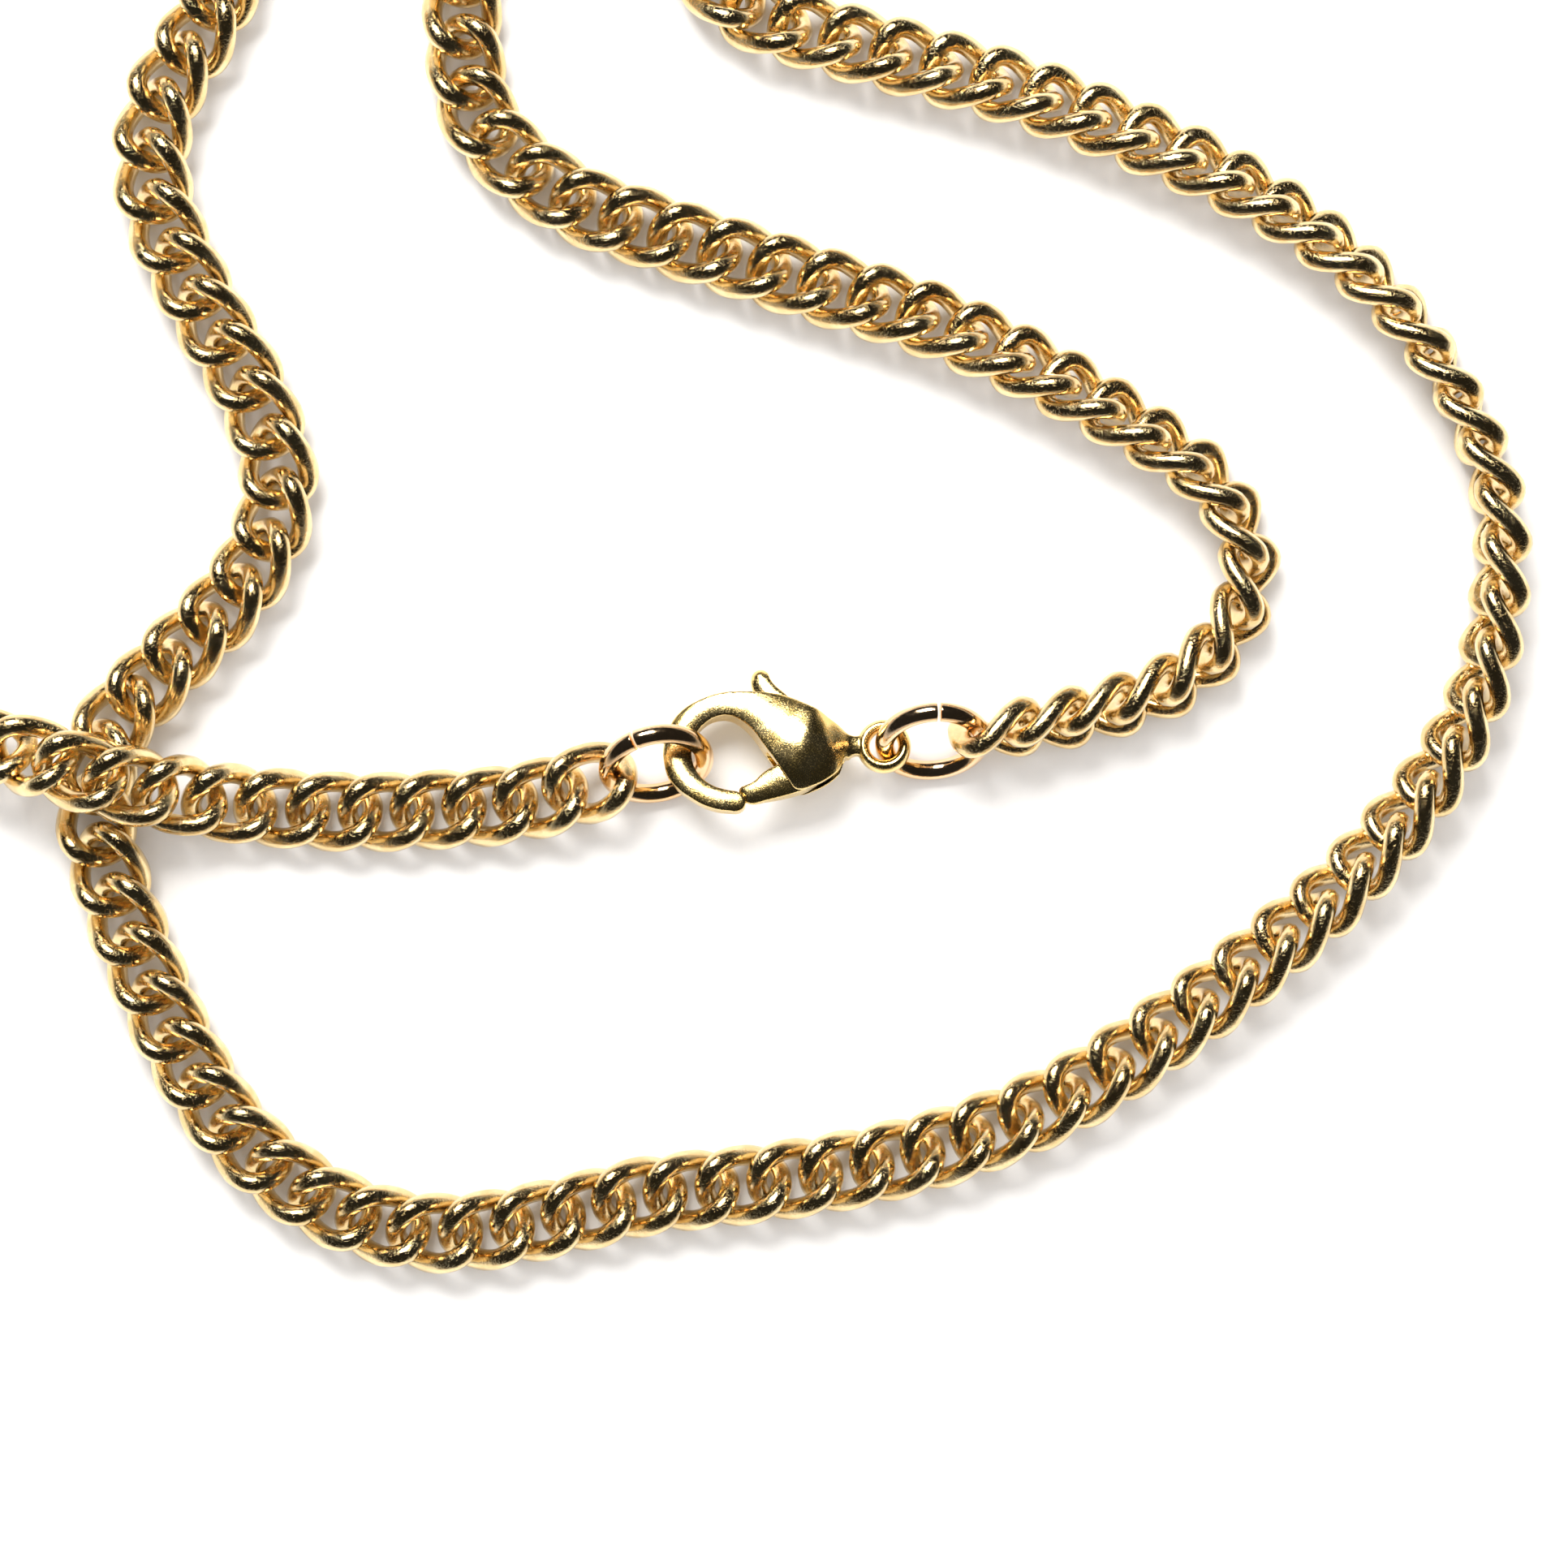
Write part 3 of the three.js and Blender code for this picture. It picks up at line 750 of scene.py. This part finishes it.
@dataclass
class JumpRing:
    """A round ring of wire, cut once, that leans over."""

    wire: float = 0.95
    outer: float = 5.7
    lean_deg: float = 54.0
    gap: float = 0.16
    burr: float = 0.025
    steps: int = 128
    sides: int = 24

    @property
    def radius(self) -> float:
        """The radius of the wire's middle line."""
        return (self.outer - self.wire) / 2

    @property
    def height(self) -> float:
        """The height of the ring's middle when its low side rests on the surface."""
        return self.radius * math.sin(math.radians(self.lean_deg)) + self.wire / 2

    def build(self, name: str, place: RingPlace) -> bpy.types.Object:
        """Models a ring and sets it in place.

        Args:
            name: The ring's name.
            place: Where it hangs.

        Returns:
            The ring, in the necklace's frame.
        """
        drop_selection()
        bpy.ops.mesh.primitive_circle_add(
            vertices=self.sides, radius=self.wire / 2, fill_type="NGON",
            location=(self.radius, 0, 0), rotation=(math.pi / 2, 0, 0),
        )
        ring = added(name)
        settle(ring)
        gap = self.gap / self.radius
        with editing(ring):
            bpy.ops.mesh.select_all(action="SELECT")
            bpy.ops.mesh.spin(
                steps=self.steps, angle=2 * math.pi - gap, center=(0, 0, 0), axis=(0, 0, 1)
            )
            bpy.ops.mesh.select_all(action="SELECT")
            bpy.ops.mesh.fill_holes(sides=0)
            bpy.ops.mesh.normals_make_consistent(inside=False)
        round_edges(ring, self.burr, segments=2)
        smooth(ring, sharp_deg=50)
        start = Matrix.Rotation(math.radians(place.cut_deg) + gap / 2, 4, "Z")
        lean = Matrix.Rotation(math.radians(self.lean_deg), 4, "X")
        turn = Matrix.Rotation(math.radians(place.turn_deg), 4, "Z")
        set_in_place(ring, Matrix.Translation(place.middle) @ turn @ lean @ start)
        return ring


@dataclass
class ChainRoute:
    """Works out where every link lies along the route."""

    link: CurbLink
    count: int = 153
    clearance: float = 0.12
    steps_per_row: int = 60
    fittings: int = 6

    def lift_to(self, height: float, roll_deg: float) -> float:
        """The lift that brings a link of a given roll to a given height."""
        spare = height - self.link.half_height(math.radians(roll_deg))
        return spare / (self.link.strand_height + self.clearance)

    @staticmethod
    def _between(rows: Sequence[Sequence[float]], place: float) -> list[float]:
        """Reads rows at a place between them, along a uniform Catmull-Rom curve.

        Args:
            rows: The rows.
            place: The place, counted in rows from the first one.

        Returns:
            The row at that place.
        """
        last = len(rows) - 1
        index = min(int(place), last - 1)
        t = place - index
        nearby = (min(max(i, 0), last) for i in range(index - 1, index + 3))
        before, start, end, after = (rows[i] for i in nearby)
        found = []
        for k, value in enumerate(start):
            leave = (end[k] - before[k]) / 2
            arrive = (after[k] - start[k]) / 2
            bend = -3 * value + 3 * end[k] - 2 * leave - arrive
            curl = 2 * value - 2 * end[k] + leave + arrive
            found.append(value + leave * t + bend * t * t + curl * t * t * t)
        return found

    def _centre(self, rows: Sequence[Sequence[float]], place: float) -> tuple[Vector, float]:
        """Finds the middle and the roll of a link at a place along the rows.

        Args:
            rows: The rows.
            place: The place, counted in rows from the first one.

        Returns:
            The middle in millimetres and the roll in radians.
        """
        x, y, roll_deg, lift = self._between(rows, place)
        roll = math.radians(roll_deg)
        height = self.link.half_height(roll) + lift * (self.link.strand_height + self.clearance)
        return Vector((x, y, height)), roll

    def _spread(
        self, rows: Sequence[Sequence[float]]
    ) -> tuple[list[tuple[Vector, float]], float]:
        """Spreads the links evenly over the rows, and measures the rows' length.

        Args:
            rows: The rows.

        Returns:
            Each link's middle and roll, and the length in millimetres.
        """
        total = (len(rows) - 1) * self.steps_per_row
        samples = [self._centre(rows, i / self.steps_per_row) for i in range(total + 1)]
        lengths = [0.0]
        for i in range(1, total + 1):
            lengths.append(lengths[-1] + (samples[i][0] - samples[i - 1][0]).length)
        places = []
        step = 0
        for i in range(self.count):
            wanted = lengths[total] * i / (self.count - 1)
            while step < total - 1 and lengths[step + 1] < wanted:
                step += 1
            share = (wanted - lengths[step]) / (lengths[step + 1] - lengths[step])
            places.append(self._centre(rows, (step + min(share, 1.0)) / self.steps_per_row))
        return places, lengths[total]

    def frames(self, first_row: Sequence[float], last_row: Sequence[float]) -> list[Matrix]:
        """Places every link: X along the chain, Z up, then rolled about X.

        Args:
            first_row: The first link's row.
            last_row: The last link's row.

        Returns:
            One matrix for each link, in millimetres about the rivet.
        """
        wanted = self.link.pitch * (self.count - 1)
        size = 1.0
        for _ in range(self.fittings):
            route = ((x * size, y * size, roll, lift) for x, y, roll, lift in ROUTE)
            rows = [first_row, *route, last_row]
            places, length = self._spread(rows)
            size *= 1 + (wanted - length) / length
        points = [point for point, _ in places]
        frames = []
        for i, (point, roll) in enumerate(places):
            before, after = points[max(i - 1, 0)], points[min(i + 1, self.count - 1)]
            along = (after - before).normalized()
            side = Vector((0, 0, 1)).cross(along).normalized()
            turn = Matrix((along, side, along.cross(side))).transposed().to_4x4()
            frames.append(Matrix.Translation(point) @ turn @ Matrix.Rotation(roll, 4, "X"))
        return frames


@dataclass(frozen=True)
class EndLink:
    """How an end link hangs from the middle of its jump ring, in millimetres, and its roll."""

    along: float
    across: float
    above: float
    roll_deg: float

    def row(self, route: ChainRoute, ring_middle: Vector) -> tuple[float, float, float, float]:
        """Writes the link as a row of the route.

        Args:
            route: The route that the link begins or ends.
            ring_middle: The middle of its jump ring.

        Returns:
            Its x, y, roll and lift.
        """
        lift = route.lift_to(ring_middle.z + self.above, self.roll_deg)
        return ring_middle.x + self.along, ring_middle.y + self.across, self.roll_deg, lift


FIRST_LINK = EndLink(along=3.12, across=0.5, above=0.2, roll_deg=80)
LAST_LINK = EndLink(along=-3.22, across=-0.95, above=-0.35, roll_deg=-180)


@dataclass
class Chain:
    """The chain: single links at each end, runs of links between them, and one closing link."""

    origin: Matrix
    link: CurbLink
    frames: list[Matrix]
    single: int = 10
    run_links: int = 4
    runs: int = 33
    open_after: int = 27

    def _piece(
        self, pattern: bpy.types.Object, name: str, first: int, count: int
    ) -> bpy.types.Object:
        """Copies the link to several places in a row and joins the copies.

        Args:
            pattern: The link that is copied.
            name: The piece's name.
            first: The first link's number.
            count: How many links the piece has.

        Returns:
            The piece, in the necklace's frame.
        """
        copies = []
        for i in range(first, first + count):
            copy = copied(pattern)
            set_in_place(copy, self.origin @ self.frames[i])
            copies.append(copy)
        return join(copies, name)

    def build(self) -> None:
        """Models every link and dresses it."""
        gold = CHAIN_GOLD.material()
        pattern = self.link.build()
        for i in range(self.single):
            for side, first in (("right", i), ("left", len(self.frames) - 1 - i)):
                node = f"link_{side}_{i + 1:02d}"
                piece = self._piece(pattern, f"curb_{node}", first, 1)
                dress(piece, node, [node], gold)
        for run in range(self.runs):
            node = f"run_{run + 1:02d}"
            skipped = 1 if run >= self.open_after else 0
            first = self.single + run * self.run_links + skipped
            piece = self._piece(pattern, f"curb_{node}", first, self.run_links)
            dress(piece, node, [node], gold)
        first = self.single + self.open_after * self.run_links
        closing = self._piece(pattern, "curb_closing_link", first, 1)
        dress(closing, f"run_{self.open_after:02d}", [], gold)
        bpy.data.objects.remove(pattern)


# ---------------------------------------------------------------- clasp

# The middle line of the casting from the neck of the eye through the body and round the hook to
# its tip: x, y from the rivet, and half the width there.
CLASP_SPINE: tuple[Triple, ...] = (
    (2.5, 0.72, 0.50), (1.85, 0.75, 0.50), (1.35, 0.72, 0.90), (0.6, 0.62, 1.45),
    (-0.3, 0.75, 1.76), (-1.1, 1.22, 1.72), (-1.9, 1.82, 1.48), (-2.7, 2.38, 1.22),
    (-3.5, 2.68, 1.02), (-4.35, 2.70, 0.88), (-5.1, 2.50, 0.74), (-5.75, 2.05, 0.64),
    (-6.25, 1.40, 0.58), (-6.5, 0.60, 0.56), (-6.5, -0.15, 0.56), (-6.15, -0.93, 0.58),
    (-5.4, -1.60, 0.60), (-4.5, -1.98, 0.60), (-3.1, -2.06, 0.54),
)
CLASP_OUTLINE: tuple[Point, ...] = (
    (2.6, 0.24), (2.6, 1.26), (2.15, 1.18), (1.8, 1.26), (1.28, 1.7), (0.56, 2.2), (-0.24, 2.6),
    (-1.08, 2.98), (-1.96, 3.22), (-2.88, 3.3), (-3.8, 3.32), (-4.52, 3.26), (-5.5, 2.95),
    (-6.4, 2.42), (-7.0, 1.6), (-7.25, 0.7), (-7.22, -0.1), (-6.92, -1.0), (-5.76, -2.02),
    (-4.9, -2.42), (-4.12, -2.56), (-3.42, -2.5), (-3.22, -2.1), (-3.5, -1.66), (-4.16, -1.5),
    (-4.92, -1.24), (-5.56, -0.66), (-5.84, 0.0), (-5.85, 0.6), (-5.68, 1.2), (-5.24, 1.76),
    (-4.68, 2.08), (-4.0, 2.12), (-3.36, 1.78), (-2.8, 1.22), (-2.3, 0.5), (-1.68, -0.36),
    (-1.1, -1.2), (-0.86, -1.5), (-0.5, -1.56), (0.05, -1.4), (0.6, -1.14), (1.2, -0.7),
    (1.62, -0.22), (1.86, 0.14), (2.15, 0.28),
)
GATE_SPINE: tuple[Triple, ...] = (
    (0.0, 0.0, 1.10), (-0.75, -0.45, 1.02), (-1.5, -0.95, 0.86), (-2.3, -1.3, 0.66),
    (-3.0, -1.56, 0.50), (-3.5, -1.8, 0.34),
)
GATE_OUTLINE: tuple[Point, ...] = (
    (-3.56, -1.62), (-3.5, -1.36), (-3.2, -1.24), (-2.86, -1.1), (-2.5, -0.76), (-2.15, -0.5),
    (-1.7, -0.3), (-1.3, 0.3), (-0.6, 0.9), (0.3, 0.95), (0.9, 0.3), (0.6, -0.8), (-0.1, -1.4),
    (-0.75, -1.66), (-1.4, -1.84), (-2.2, -2.02), (-3.0, -2.16), (-3.3, -2.02),
)
TAB_SPINE: tuple[Triple, ...] = (
    (0.0, 0.2, 1.0), (-0.6, 1.3, 0.85), (-1.3, 2.4, 0.78), (-1.95, 3.25, 0.62),
    (-2.35, 3.85, 0.5), (-2.55, 4.3, 0.42),
)
TAB_OUTLINE: tuple[Point, ...] = (
    (-1.0, 0.1), (-1.7, 1.4), (-2.35, 2.7), (-2.9, 3.5), (-2.98, 3.95), (-2.94, 4.3),
    (-2.72, 4.54), (-2.42, 4.56), (-2.16, 4.38), (-2.04, 4.06), (-1.78, 3.68), (-1.26, 3.2),
    (-0.4, 2.0), (0.5, 0.7), (0.2, -0.2),
)

# The rows of the gate's and the tab's middle lines at which they are as thick as the lever.
GATE_WAIST, TAB_WAIST = 2, 3

# The open edge between the body's two shells, on the side away from the thumb tab.
GROOVE_OUTLINE: tuple[Point, ...] = (
    (-1.2, -1.9), (0.6, -1.9), (2.1, -0.6), (1.72, 0.1), (1.2, -0.25), (0.5, -0.7),
    (-0.3, -0.95), (-1.0, -1.0),
)


@dataclass
class LobsterClasp:
    """The clasp: a cast body with its hook and eye, a sprung lever, a rivet and a spring."""

    origin: Matrix
    tilt_deg: float = 12.0
    crown: float = 0.92
    spread: float = 1.6
    body_thick: float = 3.3
    bend_x: float = -6.5
    eye_middle: Point = (3.52, 0.72)
    eye_outer: float = 2.66
    eye_wire: float = 0.64
    eye_collar: float = 1.6
    lever_thick: float = 1.4
    lever_clearance: float = 0.1
    lever_travel_deg: float = 22.0
    lever_stops: int = 4
    groove: float = 1.0
    thumb_ball: float = 0.94
    thumb_place: Point = (-2.5, 4.1)
    hub: float = 2.3
    rivet: float = 0.8
    rivet_length: float = 2.3
    rivet_edge: float = 0.12
    skin: float = 0.055
    rough_skin: float = 0.09
    crown_strokes: int = 120
    body_strokes: int = 4
    lever_strokes: int = 6
    stroke: float = 0.5
    crease_deg: float = 40.0

    @property
    def place(self) -> Matrix:
        """The clasp's own frame in the necklace's frame."""
        return self.origin @ Matrix.Rotation(-math.radians(self.tilt_deg), 4, "X")

    def _domed(
        self, name: str, spine: Sequence[Triple], outline: Sequence[Point], height: float,
        skin: float,
    ) -> bpy.types.Object:
        """Models a casting with a crowned face and walls that follow an outline.

        Args:
            name: Its name.
            spine: Its middle line, with half its width at each point.
            outline: The outline of its walls.
            height: Half its thickness, as a share of half its width.
            skin: The grain of the finished mesh.

        Returns:
            The casting as a mesh.
        """
        line = [(x, y, 0.0) for x, y, _ in spine]
        radii = [half * self.spread for _, _, half in spine]
        form = bar(name, line, radii, sides=32, steps=5)
        with editing(form):
            bpy.ops.mesh.select_all(action="SELECT")
            bpy.ops.transform.resize(value=(1, 1, height / self.spread))
        self._rounded(form, skin, self.crown_strokes)
        carve(form, slab(f"{name}_outline", outline, 2 * self.body_thick), "INTERSECT")
        return form

    def _rounded(self, form: bpy.types.Object, skin: float, strokes: int) -> None:
        """Makes one skin of a casting and polishes its edges round."""
        modify(form, "REMESH", mode="VOXEL", voxel_size=skin)
        modify(form, "SMOOTH", factor=self.stroke, iterations=strokes)

    def _lever(self, name: str, skin: float) -> bpy.types.Object:
        """Models the lever about the rivet: gate, thumb tab and hub.

        Args:
            name: The lever's name.
            skin: The grain of its mesh.

        Returns:
            The lever as a mesh.
        """
        gate_half, tab_half = GATE_SPINE[GATE_WAIST][2], TAB_SPINE[TAB_WAIST][2]
        lever = self._domed(
            name, GATE_SPINE, GATE_OUTLINE, self.lever_thick / 2 / gate_half, skin
        )
        tab = self._domed("tab", TAB_SPINE, TAB_OUTLINE, self.lever_thick / 2 / tab_half, skin)
        carve(lever, tab, "UNION")
        carve(lever, peg("hub", self.hub, self.lever_thick), "UNION")
        drop_selection()
        bpy.ops.mesh.primitive_uv_sphere_add(
            segments=24, ring_count=16, radius=self.thumb_ball / 2, location=(*self.thumb_place, 0)
        )
        ball = added("thumb_ball")
        settle(ball)
        carve(lever, ball, "UNION")
        trim = peg("lever_faces", 4 * self.body_thick, self.lever_thick)
        carve(lever, trim, "INTERSECT")
        self._rounded(lever, skin, self.lever_strokes)
        return lever

    def _hollow(self, casting: bpy.types.Object) -> None:
        """Cuts the room that the lever sweeps out of the casting, in one cut.

        Args:
            casting: The casting to hollow out.
        """
        pattern = self._lever("lever_room", self.rough_skin)
        modify(pattern, "DISPLACE", strength=self.lever_clearance, mid_level=0.0)
        rooms = [pattern]
        for i in range(1, self.lever_stops):
            room = copied(pattern)
            turn = -math.radians(self.lever_travel_deg) * i / (self.lever_stops - 1)
            room.data.transform(Matrix.Rotation(turn, 4, "Z"))
            rooms.append(room)
        swept = join(rooms, "lever_room")
        modify(swept, "REMESH", mode="VOXEL", voxel_size=self.rough_skin)
        carve(casting, swept, "DIFFERENCE")

    def build_body(self) -> bpy.types.Object:
        """Models the cast body with its hook and eye and sets it in place.

        Returns:
            The body.
        """
        casting = self._domed("lobster_clasp", CLASP_SPINE, CLASP_OUTLINE, self.crown, self.skin)
        drop_selection()
        bpy.ops.mesh.primitive_torus_add(
            major_radius=(self.eye_outer - self.eye_wire) / 2, minor_radius=self.eye_wire / 2,
            major_segments=64, minor_segments=24, location=(*self.eye_middle, 0),
        )
        eye = added("eye")
        eye.scale.z = self.eye_collar
        settle(eye)
        carve(casting, eye, "UNION")
        carve(casting, slab("groove", GROOVE_OUTLINE, self.groove), "DIFFERENCE")
        self._rounded(casting, self.skin, self.body_strokes)
        self._hollow(casting)
        smooth(casting, self.crease_deg)
        set_in_place(casting, self.place)
        return casting

    def build_lever(self) -> bpy.types.Object:
        """Models the lever: a domed gate and a thumb tab with a round tip on one hub.

        Returns:
            The lever.
        """
        lever = self._lever("clasp_gate_lever", self.skin)
        smooth(lever, self.crease_deg)
        set_in_place(lever, self.place)
        return lever

    def build_rivet(self) -> bpy.types.Object:
        """Models the rivet, its ends domed and polished over.

        Returns:
            The rivet.
        """
        rivet = peg("clasp_pivot_rivet", self.rivet, self.rivet_length, self.rivet_edge)
        smooth(rivet, sharp_deg=50)
        set_in_place(rivet, self.place)
        return rivet

    def build(self) -> None:
        """Models and dresses every piece of the clasp."""
        gold = CLASP_GOLD.material()
        dress(self.build_body(), "clasp", ["clasp_body"], gold)
        dress(self.build_lever(), "clasp_lever", ["clasp_lever"], gold)
        dress(self.build_rivet(), "clasp", ["clasp_rivet"], gold)
        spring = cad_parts["clasp_spring"]
        spring.data.materials.clear()
        spring.data.materials.append(SPRING_STEEL.material())


# ---------------------------------------------------------------- studio


@dataclass
class Studio:
    """A pale sheet, a dark room with a pale horizon, soft lamps and the camera."""

    centre: Vector
    view_width: float = 77.28 * MM
    lens: float = 120.0
    sensor: float = 36.0
    clip: Point = (0.01, 10.0)
    floor_size: float = 2.4
    paper: tuple[Colour, Colour] = ((0.80, 0.80, 0.80), (0.84, 0.835, 0.83))
    fibre_mm: float = 0.4
    paper_dullness: float = 0.9
    paper_gloss: float = 0.1
    key_power: float = 3.0
    key_place: Triple = (-0.10, 0.30, 0.40)
    key_size: Point = (0.22, 0.22)
    key_colour: Colour = (1.0, 0.99, 0.97)
    fill_strength: float = 3.0
    fill_spread_deg: float = 120.0
    fill_colour: Colour = (1.0, 0.975, 0.955)
    dome_dark: float = 0.02
    horizon_glow: float = 0.55
    glow_until: float = 0.08
    dark_from: float = 0.20
    backdrop: float = 0.9

    @staticmethod
    def _placed(name: str, data: bpy.types.ID) -> bpy.types.Object:
        """Puts a new lamp or camera into the scene.

        Args:
            name: Its name.
            data: The lamp's or camera's settings.

        Returns:
            The object.
        """
        thing = bpy.data.objects.new(name, data)
        bpy.context.scene.collection.objects.link(thing)
        return thing

    def floor(self) -> None:
        """Lays the paper."""
        drop_selection()
        bpy.ops.mesh.primitive_plane_add(size=self.floor_size, location=(0, 0, 0))
        paper = added("paper")
        settle(paper)
        bench = MaterialBench("Paper")
        fibres = bench.noise(self.fibre_mm, 3.0)
        bench.shade("Base Color", bench.blend(fibres, *self.paper))
        bench.shade("Roughness", self.paper_dullness)
        bench.shade("Specular IOR Level", self.paper_gloss)
        paper.data.materials.append(bench.material)

    def room(self) -> None:
        """Makes the surroundings: dark overhead, pale near the horizon."""
        world = bpy.data.worlds.new("Room")
        bpy.context.scene.world = world
        world.use_nodes = True
        bench = NodeBench(world.node_tree)
        glow, dark, pale = (
            (level, level, level)
            for level in (self.horizon_glow, self.dome_dark, self.backdrop)
        )
        stops = ((0.0, glow), (self.glow_until, glow), (self.dark_from, dark))
        direction = bench.add("ShaderNodeTexCoord").outputs["Generated"]
        height = bench.add("ShaderNodeSeparateXYZ", values={0: direction}).outputs["Z"]
        sky = bench.add("ShaderNodeValToRGB", {"stops": stops}, {"Fac": height})
        seen = bench.add("ShaderNodeLightPath").outputs["Is Camera Ray"]
        colour = bench.blend(seen, sky.outputs["Color"], pale)
        bench.feed(world.node_tree.nodes["Background"].inputs["Color"], colour)

    def key(self) -> None:
        """Hangs a soft lamp that points at the middle of the view."""
        light = bpy.data.lights.new("key", "AREA")
        light.shape = "RECTANGLE"
        light.size, light.size_y = self.key_size
        light.energy = self.key_power
        light.color = self.key_colour
        place = Vector(self.key_place)
        lamp = self._placed("key", light)
        lamp.location = self.centre + place
        lamp.rotation_euler = (-place).to_track_quat("-Z", "Y").to_euler()

    def fill(self) -> None:
        """Lightens the shadows evenly, without a reflection of its own in the metal."""
        light = bpy.data.lights.new("fill", "SUN")
        light.energy = self.fill_strength
        light.angle = math.radians(self.fill_spread_deg)
        light.color = self.fill_colour
        self._placed("fill", light).visible_glossy = False

    def camera(self) -> None:
        """Sets the camera straight above the middle of the view."""
        data = bpy.data.cameras.new("camera")
        data.lens, data.sensor_width = self.lens, self.sensor
        data.clip_start, data.clip_end = self.clip
        camera = self._placed("camera", data)
        distance = self.view_width * self.lens / self.sensor
        camera.location = self.centre + Vector((0, 0, distance))
        bpy.context.scene.camera = camera

    def build(self) -> None:
        """Sets up the whole studio."""
        self.camera()
        self.floor()
        self.room()
        self.key()
        self.fill()
        bpy.context.scene.view_settings.view_transform = "Standard"


# ---------------------------------------------------------------- necklace

# In millimetres: how far the clasp hangs below the middles of the rings, where the view's middle
# lies from the rivet, how far the right ring's wire stands off the eye's middle, and how far the
# left ring's middle lies from the bend of the hook and from the rivet.
CLASP_SAG = 0.06
VIEW_FROM_RIVET = Vector((-1.36, -1.12, 0.0))
RIGHT_RING_OFF_EYE: Point = (0.02, 0.24)
LEFT_RING_OFF_BEND: Point = (-1.1, -0.14)


def ring_places(ring: JumpRing, clasp: LobsterClasp) -> tuple[RingPlace, RingPlace]:
    """Finds the middles of the right and the left jump ring from what they hold.

    Args:
        ring: The rings' sizes.
        clasp: The clasp that they hold.

    Returns:
        The right ring's place and the left ring's.
    """
    eye_x, eye_y = clasp.eye_middle
    off_x, off_y = RIGHT_RING_OFF_EYE
    right = Vector((eye_x + ring.radius + off_x, eye_y + off_y, ring.height))
    off_x, off_y = LEFT_RING_OFF_BEND
    left = Vector((clasp.bend_x + off_x, off_y, ring.height))
    return (
        RingPlace(right, turn_deg=5.0, cut_deg=78.0), RingPlace(left, turn_deg=12.0, cut_deg=104.0)
    )


def main() -> None:
    """Builds the necklace and its studio."""
    logging.basicConfig(level=logging.INFO, format="%(name)s: %(message)s")
    low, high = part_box("clasp_rivet")
    rivet = (low + high) / 2 / MM
    ring = JumpRing()
    ground = Vector((rivet.x, rivet.y, rivet.z - (ring.height - CLASP_SAG)))
    Studio(centre=(Vector((rivet.x, rivet.y, 0)) + VIEW_FROM_RIVET) * MM).build()
    clasp = LobsterClasp(origin=Matrix.Translation(rivet))
    right, left = ring_places(ring, clasp)
    link = CurbLink()
    route = ChainRoute(link)
    frames = route.frames(
        FIRST_LINK.row(route, right.middle), LAST_LINK.row(route, left.middle)
    )
    Chain(Matrix.Translation(ground), link, frames).build()
    gold = RING_GOLD.material()
    for side, place in (("right", right), ("left", left)):
        place.middle += ground
        piece = ring.build(f"round_ring_{side}", place)
        dress(piece, f"jump_ring_{side}", [f"jump_ring_{side}"], gold)
    clasp.build()


if __name__ == "__main__":
    main()
